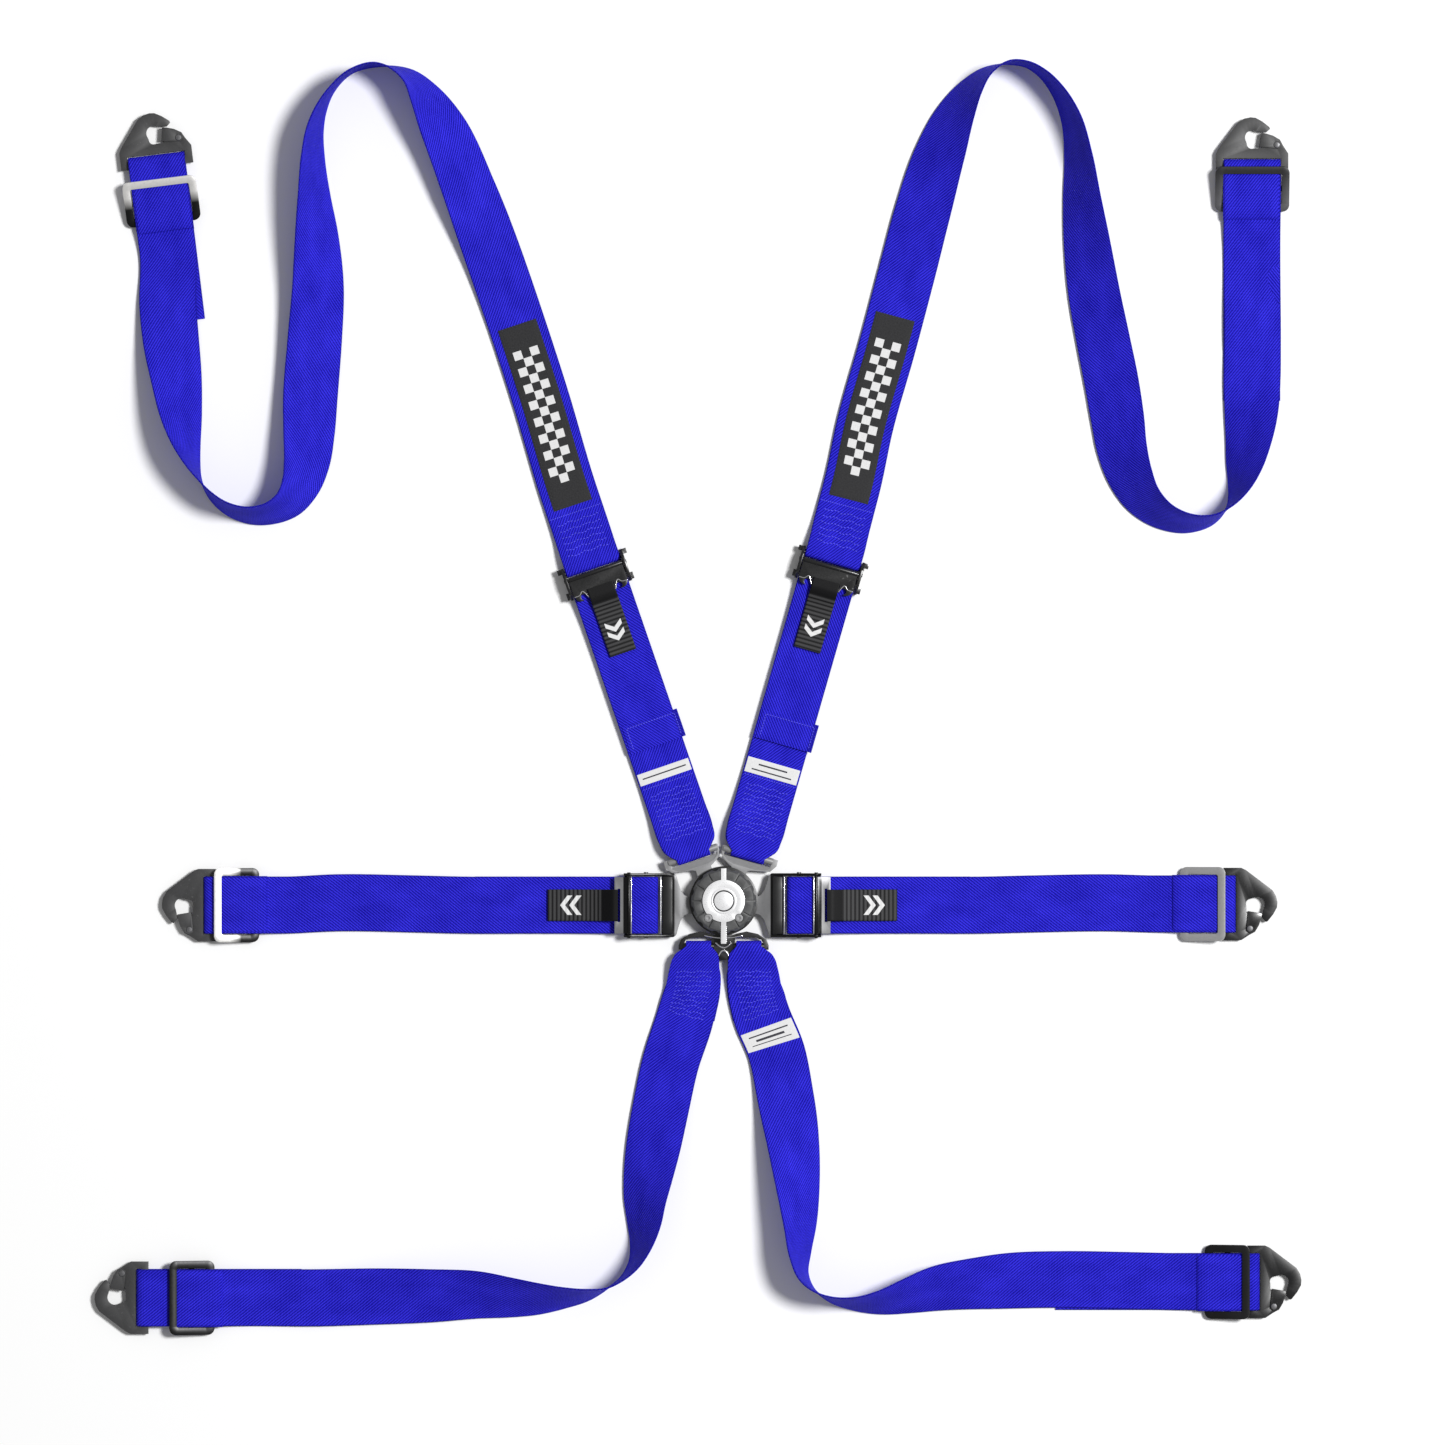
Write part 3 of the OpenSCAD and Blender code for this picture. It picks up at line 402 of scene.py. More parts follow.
class Nodes:
    """A material and short ways to add its nodes. An input is given by its name, or by i and its number."""

    def __init__(self, name):
        self.mat = bpy.data.materials.new(name)
        self.mat.use_nodes = True
        self.tree = self.mat.node_tree
        self.bsdf = self.tree.nodes["Principled BSDF"]

    def node(self, kind, **inputs):
        n = self.tree.nodes.new(kind)
        for key, value in inputs.items():
            numbered = key[0] == "i" and key[1:].isdigit()
            self.put(n.inputs[int(key[1:])] if numbered else n.inputs[key], value)
        return n

    def put(self, socket, value):
        if isinstance(value, bpy.types.NodeSocket):
            self.tree.links.new(value, socket)
        else:
            socket.default_value = value

    def math(self, op, a, b=0.0, c=0.0, clamp=False):
        n = self.node("ShaderNodeMath", i0=a, i1=b, i2=c)
        n.operation, n.use_clamp = op, clamp
        return n.outputs[0]

    def noise(self, vector, scale, detail=3.0, rough=0.55):
        return self.node("ShaderNodeTexNoise", Vector=vector, Scale=scale, Detail=detail,
                         Roughness=rough).outputs["Fac"]

    def cloth_noise(self, vector, scale, detail=3.0):
        """Noise on the flat cloth, stretched by scale."""
        stretched = self.node("ShaderNodeMapping", Vector=vector, Scale=scale)
        return self.noise(stretched.outputs["Vector"], 1.0, detail)

    def ramp(self, fac, *stops):
        n = self.node("ShaderNodeValToRGB", Fac=fac)
        for i, (pos, value) in enumerate(stops):
            e = n.color_ramp.elements[i] if i < 2 else n.color_ramp.elements.new(pos)
            e.position = pos
            e.color = rgba((value,) * 3 if isinstance(value, (int, float)) else value)
        return n.outputs["Color"]

    def mix(self, fac, a, b, blend="MIX"):
        n = self.tree.nodes.new("ShaderNodeMix")
        n.data_type, n.blend_type = "RGBA", blend
        # In an RGBA mix the factor and the two colours are inputs 0, 6 and 7, and the colour is output 2.
        for key, value in ((0, fac), (6, a), (7, b)):
            self.put(n.inputs[key], rgba(value))
        return n.outputs[2]

    def bump(self, height, distance, strength=1.0):
        n = self.node("ShaderNodeBump", Height=height, Distance=distance, Strength=strength)
        return n.outputs["Normal"]

    def place(self, scale=(1, 1, 1)):
        """The place on the object, in metres, stretched by scale."""
        obj = self.node("ShaderNodeTexCoord").outputs["Object"]
        return self.node("ShaderNodeMapping", Vector=obj, Scale=scale).outputs["Vector"]

    def cloth(self):
        """The distance along the cloth, the distance across it, and both as a vector, in mm."""
        a = self.tree.nodes.new("ShaderNodeAttribute")
        a.attribute_name = "cloth"
        x = self.node("ShaderNodeSeparateXYZ", Vector=a.outputs["Vector"])
        return x.outputs[0], x.outputs[1], a.outputs["Vector"]

    def wave(self, value, period):
        """0 to 1, with the period in the value's own units."""
        t = self.math("MULTIPLY", value, 2 * math.pi / period)
        return self.math("MULTIPLY_ADD", self.math("SINE", t), 0.5, 0.5)

    def within(self, value, reach):
        """1 where the value lies less than reach from zero, else 0."""
        return self.math("LESS_THAN", self.math("ABSOLUTE", value), reach)

    def between(self, value, lo, hi):
        """1 where the value lies between lo and hi, else 0."""
        return self.math("MULTIPLY", self.math("GREATER_THAN", value, lo), self.math("LESS_THAN", value, hi))

    def finish(self, colour, rough, normal=None, **constants):
        self.put(self.bsdf.inputs["Base Color"], rgba(colour))
        self.put(self.bsdf.inputs["Roughness"], rough)
        if normal:
            self.put(self.bsdf.inputs["Normal"], normal)
        for key, value in constants.items():
            self.bsdf.inputs[key.replace("_", " ")].default_value = value
        return self.mat


def webbing_material(name, dark, light, edge):
    """Twill webbing: slanted ribs with the threads across them, the raised ribs and threads painted lighter
    as a highlight and the hollows darker as shade, a darker band along each selvedge, and faint uneven dye.
    """
    rib_pitch, thread_pitch, selvedge = 2.7, 1.35, 24.0
    m = Nodes(name)
    s, v, vec = m.cloth()
    slant = m.math("ADD", m.math("MULTIPLY", s, 0.8), v)
    warp = m.math("MULTIPLY_ADD", m.cloth_noise(vec, (0.25, 0.25, 1)), 0.9, slant)
    rib = m.wave(warp, rib_pitch)
    pick = m.wave(s, thread_pitch)
    end = m.wave(m.math("MULTIPLY_ADD", s, 0.5, v), thread_pitch)
    threads = m.math("MULTIPLY", pick, end)
    height = m.math("MULTIPLY_ADD", threads, 0.4, m.math("MULTIPLY", rib, 0.6))
    fine = m.cloth_noise(vec, (1.4, 1.4, 1), 2)
    blot = m.cloth_noise(vec, (0.03, 0.06, 1))
    # Painted highlight and shade: the tone follows the weave's height, lighter on raised ribs and threads and
    # darker in the hollows, over random yarn tone and faint uneven dye.
    tone = m.math("MULTIPLY_ADD", fine, 0.6, m.math("MULTIPLY", height, 0.7))
    tone = m.math("MULTIPLY_ADD", blot, 0.35, m.math("SUBTRACT", tone, 0.32))
    colour = m.ramp(tone, (0.22, dark), (0.78, light))
    # Both edges are coloured darker over their outer millimetre.
    rim = m.math("GREATER_THAN", m.math("ABSOLUTE", v), selvedge)
    colour = m.mix(m.math("MULTIPLY", rim, 0.6), colour, edge)
    rough = m.math("MULTIPLY_ADD", fine, 0.2, 0.62)
    return m.finish(colour, rough, m.bump(height, 0.0005, 0.7), Specular_IOR_Level=0.05)


# The pull tabs' tape: the pitch of its ribs, and the plain stretch before they begin
RIB, PLAIN = 3.7, 15.0
CHEVRON_HALF, CHEVRON_SLOPE = 2.2, 0.75


def ribbed_material(name, chevrons, reach):
    """Black ribbed tape, its rib crests painted lighter as a highlight, with white chevrons at the given
    distances, reach to each side of its middle.
    """
    m = Nodes(name)
    s, v, vec = m.cloth()
    fine = m.cloth_noise(vec, (1.1, 2.6, 1), 2)
    # Painted highlight: the rib crests are coloured lighter than the hollows between them; the plain stretch
    # stays dark.
    crest_highlight = m.math("MULTIPLY", m.math("ABSOLUTE", m.math("SINE", m.math("MULTIPLY", s, math.pi / RIB))),
                   m.math("GREATER_THAN", s, PLAIN))
    colour = m.ramp(m.math("MULTIPLY", crest_highlight, m.math("ADD", fine, 0.4)),
                    (0.25, (0.002, 0.002, 0.0025)), (0.9, (0.05, 0.05, 0.052)))
    bend = m.math("MULTIPLY_ADD", m.math("ABSOLUTE", v), CHEVRON_SLOPE, s)
    bands = [m.within(m.math("SUBTRACT", bend, at), CHEVRON_HALF) for at in chevrons]
    white = m.math("MULTIPLY", m.math("MAXIMUM", *bands), m.within(v, reach))
    colour = m.mix(white, colour, m.ramp(fine, (0.2, 0.62), (0.8, 0.82)))
    return m.finish(colour, m.math("MULTIPLY_ADD", fine, 0.2, 0.45), m.bump(fine, 0.0002, 0.5),
                    Specular_IOR_Level=0.18)


def label_material(name):
    """Black woven label with three rows of squares, chequered white."""
    square, first, columns, weave_pitch = 7.6, 22.0, 16, 0.9
    m = Nodes(name)
    s, v, vec = m.cloth()
    weave = m.math("MULTIPLY", m.wave(s, weave_pitch), m.wave(v, weave_pitch))
    fine = m.cloth_noise(vec, (0.8, 0.8, 1))
    colour = m.ramp(fine, (0.3, (0.010, 0.010, 0.011)), (0.75, (0.030, 0.030, 0.032)))
    row = m.math("FLOOR", m.math("DIVIDE", m.math("ADD", v, 1.5 * square), square))
    col = m.math("FLOOR", m.math("DIVIDE", m.math("SUBTRACT", s, first), square))
    chequer = m.math("COMPARE", m.math("PINGPONG", m.math("ADD", row, col), 1.0), 1.0, 0.1)
    ends = m.between(s, first, first + columns * square)
    white = m.math("MULTIPLY", m.math("MULTIPLY", chequer, m.within(v, 1.5 * square)), ends)
    colour = m.mix(white, colour, m.ramp(fine, (0.2, 0.6), (0.8, 0.78)))
    return m.finish(colour, m.math("MULTIPLY_ADD", fine, 0.2, 0.55), m.bump(weave, 0.0001, 0.4),
                    Specular_IOR_Level=0.25)


def tag_material(name, lines):
    """White satin tape with thin printed lines across it: first s, last s, and reach to each side."""
    m = Nodes(name)
    s, v, vec = m.cloth()
    fine = m.cloth_noise(vec, (0.5, 1.5, 1), 2)
    colour = m.ramp(fine, (0.2, 0.62), (0.8, 0.78))
    for lo, hi, reach in lines:
        on = m.math("MULTIPLY", m.between(s, lo, hi), m.within(v, reach))
        colour = m.mix(on, colour, (0.03, 0.03, 0.04))
    return m.finish(colour, m.math("MULTIPLY_ADD", fine, 0.15, 0.4), m.bump(fine, 0.0001, 0.3),
                    Specular_IOR_Level=0.3)


def metal_material(name, colour, metallic, rough, grain=(60, 60, 60), spread=0.25, bump=0.00004,
                   worn=None, coat=0.0):
    """Metal, enamel or thread. Grain stretches the fine marks, worn is the colour of small rubbed specks."""
    m = Nodes(name)
    fine = m.noise(m.place(scale=grain), 14.0, 4, 0.65)
    large = m.noise(m.place(), 38.0, 3)
    low = tuple(c * (1 - spread) for c in colour)
    high = tuple(min(1, c * (1 + spread)) for c in colour)
    base = m.ramp(m.math("MULTIPLY_ADD", large, 0.5, m.math("MULTIPLY", fine, 0.5)), (0.3, low), (0.7, high))
    if worn:
        speck = m.noise(m.place(), 420.0, 5, 0.7)
        specks, areas = m.ramp(speck, (0.62, 0.0), (0.7, 0.6)), m.ramp(large, (0.5, 0.0), (0.62, 1.0))
        base = m.mix(m.math("MULTIPLY", specks, areas), base, worn)
    uneven = m.math("MULTIPLY_ADD", large, 0.14, rough - 0.18)
    return m.finish(base, m.math("MULTIPLY_ADD", fine, 0.22, uneven, clamp=True), m.bump(fine, bump, 0.5),
                    Metallic=metallic, Coat_Weight=coat, Coat_Roughness=0.12)


Finish = namedtuple("Finish", "colour rough metallic")


def split_material(name, first, second, centre, direction, lo, hi):
    """Two finishes that change over along a direction from a point, from lo to hi millimetres."""
    m = Nodes(name)
    fine = m.noise(m.place(scale=(50, 50, 50)), 12.0, 4, 0.6)
    pos = m.node("ShaderNodeTexCoord").outputs["Object"]
    axes = m.node("ShaderNodeSeparateXYZ", Vector=pos).outputs
    along_x, along_y = (m.math("MULTIPLY", m.math("SUBTRACT", axes[k], centre[k] * MM), direction[k] / MM)
                        for k in (0, 1))
    t = m.math("ADD", along_x, along_y)
    fac = m.node("ShaderNodeMapRange", i0=t, i1=lo, i2=hi, i3=0.0, i4=1.0).outputs[0]
    shade = m.math("MULTIPLY_ADD", fine, 0.3, 0.85)
    colour = m.mix(fac, first.colour, second.colour)
    colour = m.mix(1.0, colour, m.ramp(shade, (0.85, 0.8), (1.15, 1.0)), "MULTIPLY")
    rough = m.math("MULTIPLY_ADD", fac, second.rough - first.rough, first.rough)
    rough = m.math("ADD", rough, m.math("MULTIPLY", m.math("SUBTRACT", fine, 0.5), 0.16))
    return m.finish(colour, rough, m.bump(fine, 0.00004, 0.4), Metallic=first.metallic)


blue = webbing_material("blue_webbing", (0.003, 0.002, 0.24), (0.046, 0.038, 0.88), (0.006, 0.004, 0.20))
blue_thread = metal_material("blue_thread", (0.085, 0.08, 0.85), 0.0, 0.6, spread=0.3)
dark_thread = metal_material("dark_thread", (0.03, 0.03, 0.035), 0.0, 0.6, spread=0.3)
black_enamel = metal_material("black_enamel", (0.007, 0.007, 0.0075), 0.0, 0.3, coat=0.2,
                              worn=(0.22, 0.22, 0.22))
grey_enamel = metal_material("grey_enamel", (0.034, 0.034, 0.035), 0.0, 0.5, worn=(0.2, 0.2, 0.2),
                             bump=0.00008)
ring_grey = metal_material("ring_grey", (0.060, 0.061, 0.062), 0.0, 0.45, bump=0.0001,
                           worn=(0.3, 0.3, 0.3))
gloss_black = metal_material("gloss_black", (0.003, 0.003, 0.0035), 0.0, 0.34, coat=0.12, bump=0.00001)
silver = metal_material("silver", (0.88, 0.88, 0.89), 0.35, 0.3, spread=0.06)
satin = metal_material("satin_steel", (0.25, 0.25, 0.255), 0.25, 0.5, grain=(80, 20, 80), spread=0.14)
steel_grey = metal_material("steel_grey", (0.20, 0.20, 0.205), 0.55, 0.45, grain=(20, 90, 80), spread=0.15)
chrome = metal_material("bright_chrome", (0.85, 0.85, 0.86), 1.0, 0.2, spread=0.05)
gunmetal = metal_material("gunmetal", (0.13, 0.13, 0.135), 0.6, 0.38, worn=(0.5, 0.5, 0.5))


# ---- CAD nodes: rounded edges and finishes --------------------------------

def dress(node, material, bevel=0.35):
    """Gives a CAD node its material and rounds its sharp edges."""
    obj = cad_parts[node]
    obj.data.materials.clear()
    obj.data.materials.append(material)
    weld = obj.modifiers.new("weld", "WELD")
    weld.merge_threshold = 1e-6
    round_edges = obj.modifiers.new("bevel", "BEVEL")
    round_edges.width = bevel * MM
    round_edges.segments = 2
    round_edges.limit_method = "ANGLE"
    round_edges.angle_limit = math.radians(32)
    round_edges.harden_normals = False
    obj.data.shade_smooth()
    obj.data.set_sharp_from_angle(angle=math.radians(50))


def slide_material(i, first, second, lo, hi):
    """A slide's finish, from its bar next to the hook to its far bar."""
    h = HOOK[i]
    a = math.radians(h.heading)
    centre = (h.x - h.slide_gap * math.cos(a), h.y - h.slide_gap * math.sin(a))
    away = (-math.cos(a), -math.sin(a))
    return split_material(f"{NAMES[i]}_slide_finish", first, second, centre, away, lo, hi)


BRIGHT, STEEL = Finish((0.74, 0.73, 0.71), 0.35, 0.5), Finish((0.40, 0.40, 0.40), 0.35, 0.5)
GUN, DARK = Finish((0.09, 0.09, 0.095), 0.4, 0.5), Finish((0.010, 0.010, 0.011), 0.35, 0.3)
BLACK = Finish((0.005, 0.005, 0.005), 0.3, 0.5)
LEVER_BLACK, LEVER_GREY = Finish((0.006, 0.006, 0.0065), 0.25, 0.5), Finish((0.24, 0.24, 0.245), 0.42, 0.5)
FRAME_GREY, FRAME_BLACK = Finish((0.21, 0.21, 0.215), 0.42, 0.5), Finish((0.006, 0.006, 0.0065), 0.3, 0.5)
SLIDE_FINISH = [(BRIGHT, BLACK, 14, 24), (DARK, GUN, 0, 30), (BRIGHT, BLACK, 14, 24),
                (STEEL, STEEL, 0, 10), (BLACK, DARK, 0, 30), (DARK, BLACK, 10, 24)]
GLOSSY_HOOKS = ("right_lap", "right_leg")

# The buckle housing is gloss black so that its rim shows as a dark line round the knob ring: painted shade at
# the ring's edge.
for node, material in {
    "buckle_back_plate": gloss_black, "buckle_housing": gloss_black, "housing_screws": gunmetal,
    "latch_spring": satin, "release_cam": satin, "knob_ring": ring_grey, "knob_lever": silver,
    "knob_cap": silver, "knob_screws": satin, "left_shoulder_tongue": satin,
    "right_shoulder_tongue": satin, "crotch_tongue": gloss_black,
}.items():
    dress(node, material)
for i, side in enumerate(SIDES):
    dress(f"{side}_shoulder_adjuster", black_enamel)
    dress(f"{side}_shoulder_lock_bar", gunmetal, 0.2)
    dress(f"{side}_shoulder_lever", black_enamel)
    dress(f"{side}_lap_roller", gunmetal)
    away = (math.cos(math.radians(LAP[i].heading)), 0)
    dress(f"{side}_lap_lever",
          split_material(f"{side}_lap_lever_finish", LEVER_BLACK, LEVER_GREY, LAP[i], away, 19.6, 20.0))
    dress(f"{side}_lap_tongue",
          split_material(f"{side}_lap_tongue_finish", FRAME_GREY, FRAME_BLACK, LAP[i], away, -25.4, -24.6))
for i, name in enumerate(NAMES):
    glossy = name in GLOSSY_HOOKS
    dress(f"{name}_slide", slide_material(i, *SLIDE_FINISH[i]), 0.6)
    dress(f"{name}_hook", gloss_black if glossy else grey_enamel, 0.5)
    dress(f"{name}_gate", black_enamel if glossy else grey_enamel, 0.2)
    dress(f"{name}_rivet", gunmetal, 0.2)


# ---- Straps ---------------------------------------------------------------

starts = [shoulder_start(0), shoulder_start(1), lap_start(0), lap_start(1), leg_start(0), leg_start(1)]
straps = [Strap(starts[i] + loose(ROUTES[i]) + hook_end(HOOK[i])) for i in range(len(NAMES))]
lowers = [Strap(lower_shoulder(i)) for i in range(len(SIDES))]


def build_strap(strap, name, node, body):
    verts, faces, cloth = web_mesh(strap)
    obj = make(name, verts, faces, blue, body, cloth, sharp=60)
    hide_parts(node)
    return obj


# Each strap's object, its frames, and the piece that it rests on
built = []
for i, name in enumerate(NAMES):
    obj = build_strap(straps[i], f"{name}_strap", f"{name}_webbing", STRAP_BODY[i])
    built.append((obj, straps[i], f"{name}_slide"))
for i, side in enumerate(SIDES):
    obj = build_strap(lowers[i], f"{side}_lower_shoulder_strap", f"{side}_lower_shoulder_webbing",
                      f"{side}_shoulder")
    built.append((obj, lowers[i], f"{side}_shoulder_tongue"))


# ---- Stitching, labels and tags -------------------------------------------

def rows(strap, s0, s1, half, count=10):
    """Stitched rows across a strap, evenly spaced from s0 to s1: strap, first end, last end, pitch."""
    out = []
    for k in range(count):
        s = s0 + (s1 - s0) * k / (count - 1)
        out.append((strap, (s, -half), (s, half), 3.0))
    return out


def top_s(strap):
    """The distance s of the top of the strap's first loop."""
    first = next(k for k in range(len(strap.s)) if strap.normal[k].z > 0.95)
    return strap.s[first]


def sew(name, body, lines, lines_on_hem=(), hem_top=1.4):
    """One piece with all the stitches of some lines, of which some lie on top of a hem."""
    verts, faces = [], []
    for strap, p, q, pitch in lines:
        stitch_line(verts, faces, strap, p, q, pitch)
    for strap, p, q, pitch in lines_on_hem:
        stitch_line(verts, faces, strap, p, q, pitch, lift=hem_top)
    return make(name, verts, faces, blue_thread, body)


extras = {obj.name: [] for obj, strap, rest in built}
label_mat = label_material("black_label")
LABEL_LENGTH, LABEL_HALF, LABEL_HEM = 166, 17.6, 1.6
for i, side in enumerate(SIDES):
    body = f"{side}_shoulder"
    up = straps[i]
    bar = top_s(up)
    seam = bar + 50
    lines = [(up, (seam, -23.5), (seam, 23.5), 2.0)] + rows(up, bar + 14, seam - 7, 19, 6)
    extras[f"{side}_shoulder_strap"].append(sew(f"{side}_shoulder_stitching", body, lines))

    # The label, with dark thread round its rim
    s0, s1 = seam + 6, seam + 6 + LABEL_LENGTH
    verts, faces, cloth = patch_mesh(up, s0, s1, -LABEL_HALF, LABEL_HALF, 0.02, 0.55, 84, 12)
    label = make(f"{side}_shoulder_label", verts, faces, label_mat, body, cloth, sharp=40)
    extras[f"{side}_shoulder_strap"].append(label)
    verts, faces = [], []
    near_s, far_s, reach = s0 + LABEL_HEM, s1 - LABEL_HEM, 16
    for p, q in (((near_s, -reach), (near_s, reach)), ((far_s, -reach), (far_s, reach)),
                 ((near_s, -reach), (far_s, -reach)), ((near_s, reach), (far_s, reach))):
        stitch_line(verts, faces, up, p, q, 3.2, lift=0.6, width=0.5)
    rim_thread = make(f"{side}_shoulder_label_thread", verts, faces, dark_thread, body)
    extras[f"{side}_shoulder_strap"].append(rim_thread)

    # The lower strap: rows above the tongue, the white tag, and the hem at its end
    low = lowers[i]
    top = top_s(low)
    end = low.length
    tag_s = low.near(*along(SHOULDER[i], 78, 0, SHOULDER[i].heading)[:2])
    lines = rows(low, top + 20, top + 62, 19) + [(low, (tag_s - 9, -23), (tag_s - 9, 23), 2.2)]
    hem_lines = [(low, (end - 22, -25), (end - 22, 19), 2.4), (low, (end - 22, -25), (end - 3, -25), 2.4),
                 (low, (end - 22, 19), (end - 3, 19), 2.4)]
    verts, faces, cloth = patch_mesh(low, end - 25, end, -28.4, 22.4, 0.02, 1.3, 12, 20)
    hem = make(f"{side}_shoulder_tail_hem", verts, faces, blue, body, cloth, sharp=40)
    sewn = sew(f"{side}_lower_shoulder_stitching", body, lines, hem_lines)
    printed = [(4.8, 6.0, 20)] if i == 0 else [(3.2, 4.4, 18), (8.2, 9.6, 13)]
    size = 10.5 if i == 0 else 13.5
    verts, faces, cloth = patch_mesh(low, tag_s - size / 2, tag_s + size / 2, -23.6, 23.6, 0.05, 0.45, 10, 16)
    tag = make(f"{side}_shoulder_tag", verts, faces, tag_material(f"{side}_tag_print", printed), body,
               cloth, sharp=40)
    extras[f"{side}_lower_shoulder_strap"] += [hem, sewn, tag]

for i, side in enumerate(SIDES):
    leg = straps[4 + i]
    top = top_s(leg)
    sewn = sew(f"{side}_leg_stitching", "crotch", rows(leg, top + 24, top + 64, 16))
    extras[f"{side}_leg_strap"].append(sewn)
leg = straps[5]
tag_s = leg.near(40.5, -120)
verts, faces, cloth = patch_mesh(leg, tag_s - 9, tag_s + 9, -23.4, 23.4, 0.05, 0.45, 12, 16)
printed = [(4.6, 5.8, 18), (8.6, 10.6, 13), (13.0, 13.8, 18)]
tag = make("right_leg_tag", verts, faces, tag_material("leg_tag_print", printed), "crotch", cloth,
           sharp=40)
extras["right_leg_strap"].append(tag)


def fold_relief(u):
    """The turned-back end: thin at its cut edge, then a low ridge."""
    return -1.2 * max(0, 1 - u / 2.5) ** 2 + 0.5 * math.exp(-((u - 7) / 5) ** 2)


# Each strap's end is turned back over its slide's far bar, and lies a little to one side
for i, name in enumerate(NAMES):
    strap, h = straps[i], HOOK[i]
    ends = []
    for d in (h.slide_gap + 7.5, h.slide_gap + 46):
        x, y = along(h, -d, 0, h.heading)[:2]
        ends.append(strap.near(x, y))
    aside = 1.2 if i % 2 else -1.2
    verts, faces, cloth = patch_mesh(strap, min(ends), max(ends), -24.3 + aside, 24.3 + aside, 0.03, 1.3,
                                     40, 16, relief=fold_relief)
    fold = make(f"{name}_strap_fold", verts, faces, blue, STRAP_BODY[i], cloth, sharp=40)
    extras[f"{name}_strap"].append(fold)


# ---- Pull tabs ------------------------------------------------------------

def eased(points, step=0.6, rounds=8):
    """A line through the points with its corners rounded off."""
    line = []
    for a, b in zip(points, points[1:]):
        n = max(1, round(math.dist(a, b) / step))
        for j in range(n):
            line.append([a[0] + (b[0] - a[0]) * j / n, a[1] + (b[1] - a[1]) * j / n])
    line.append(points[-1])
    for _ in range(rounds):
        inner = [[(p[k] + 2 * q[k] + r[k]) / 4 for k in (0, 1)] for p, q, r in zip(line, line[1:], line[2:])]
        line = [line[0]] + inner + [line[-1]]
    return line


def pull_tab(name, node, body, base, angle, points, width, chevrons, reach):
    """Ribbed tape along points (u, z) from a base. The chevrons are measured from its free end."""
    line = eased(points)
    t = math.radians(angle)
    out, side = Vector((math.cos(t), math.sin(t), 0)), Vector((-math.sin(t), math.cos(t), 0))
    verts, cloth, s = [], [], 0.0
    cross = [-1, -0.97, -0.9, -0.5, 0, 0.5, 0.9, 0.97, 1]
    for i, (u, z) in enumerate(line):
        if i:
            s += math.dist(line[i], line[i - 1])
        a, b = line[max(i - 1, 0)], line[min(i + 1, len(line) - 1)]
        d = Vector((b[0] - a[0], b[1] - a[1])).normalized()
        up = out * -d.y * (1 if d.x > 0 else -1) + Vector((0, 0, abs(d.x)))
        c = Vector((base[0], base[1], 0)) + out * u + Vector((0, 0, z))
        rib = 0.42 * abs(math.sin(math.pi * s / RIB)) ** 0.6 if s > PLAIN else 0.0
        for face in (1, -1):
            for x in (cross if face == 1 else reversed(cross)):
                h = 0.45 + (rib if face == 1 else 0.25)
                h *= 0.35 if abs(x) == 1 else 1.0
                verts.append(c + side * x * width / 2 + up * face * h)
                cloth.append((s, x * width / 2, face))
    tape = ribbed_material(f"{name}_tape", [s - back for back in chevrons], reach)
    obj = make(name, verts, tube_faces(len(line), 2 * len(cross)), tape, body, cloth, sharp=60)
    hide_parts(node)


SHOULDER_TAB = [(-6, 14.8), (-14, 14.8), (-18, 13.8), (-26, 10.6), (-34, 9.6), (-69, 8.9)]
LAP_TAB = [(24.5, 16.8), (29, 16.8), (34, 14.4), (42, 10.4), (50, 8.8), (86, 6.6)]
for i, side in enumerate(SIDES):
    d = SHOULDER[i].heading
    pull_tab(f"{side}_shoulder_pull_strap", f"{side}_shoulder_pull_tab", f"{side}_shoulder_lever",
             along(SHOULDER[i], ADJUSTER_S, 0, d), d, SHOULDER_TAB, 24, (14, 22), 7.5)
    pull_tab(f"{side}_lap_pull_strap", f"{side}_lap_pull_tab", f"{side}_lap_lever",
             LAP[i], LAP[i].heading, LAP_TAB, 27.6, (13, 21), 8.5)


# ---- Hardware details -----------------------------------------------------

def rounded_bar(name, body, material, centre, size, angle, edge):
    """A bar with rounded edges: size along, across and up, turned about Z."""
    l, w, h = (k / 2 for k in size)
    e = min(edge, l * 0.8, h * 0.8)
    outline = []
    for sx, sz, a0 in ((1, 1, 0), (-1, 1, 90), (-1, -1, 180), (1, -1, 270)):
        for k in range(4):
            t = math.radians(a0 + 30 * k)
            outline.append((sx * (l - e) + e * math.cos(t), sz * (h - e) + e * math.sin(t)))
    stations = [-w, -w + e * 0.3, -w + e, -w / 2, 0, w / 2, w - e, w - e * 0.3, w]
    t = math.radians(angle)
    out, side = Vector((math.cos(t), math.sin(t), 0)), Vector((-math.sin(t), math.cos(t), 0))
    up = Vector((0, 0, 1))
    verts = []
    for y in stations:
        shrink = e * (1 - math.sqrt(max(0, 1 - max(0, (abs(y) - (w - e)) / e) ** 2)))
        for x, z in outline:
            fx, fz = (l - shrink) / l, (h - shrink) / h
            verts.append(Vector(centre) + out * x * fx + side * y + up * (z * fz))
    make(name, verts, tube_faces(len(stations), len(outline)), material, body, sharp=50)


for i, side in enumerate(SIDES):
    body = "buckle" if i == 0 else "right_lap"
    p, a = LAP[i], LAP[i].heading
    rounded_bar(f"{side}_lap_frame_bar", body, gloss_black, along(p, -18.9, 11.9, a)[:3],
                (9.2, 51, 2.6), a, 0.9)
    rounded_bar(f"{side}_lap_frame_lip", body, chrome, along(p, -12.9, 12.2, a)[:3],
                (1.2, 50.6, 1.6), a, 0.4)
    rounded_bar(f"{side}_lap_outer_lip", body, chrome, along(p, 12.9, 15.2, a)[:3],
                (1.1, 50.6, 1.0), a, 0.35)


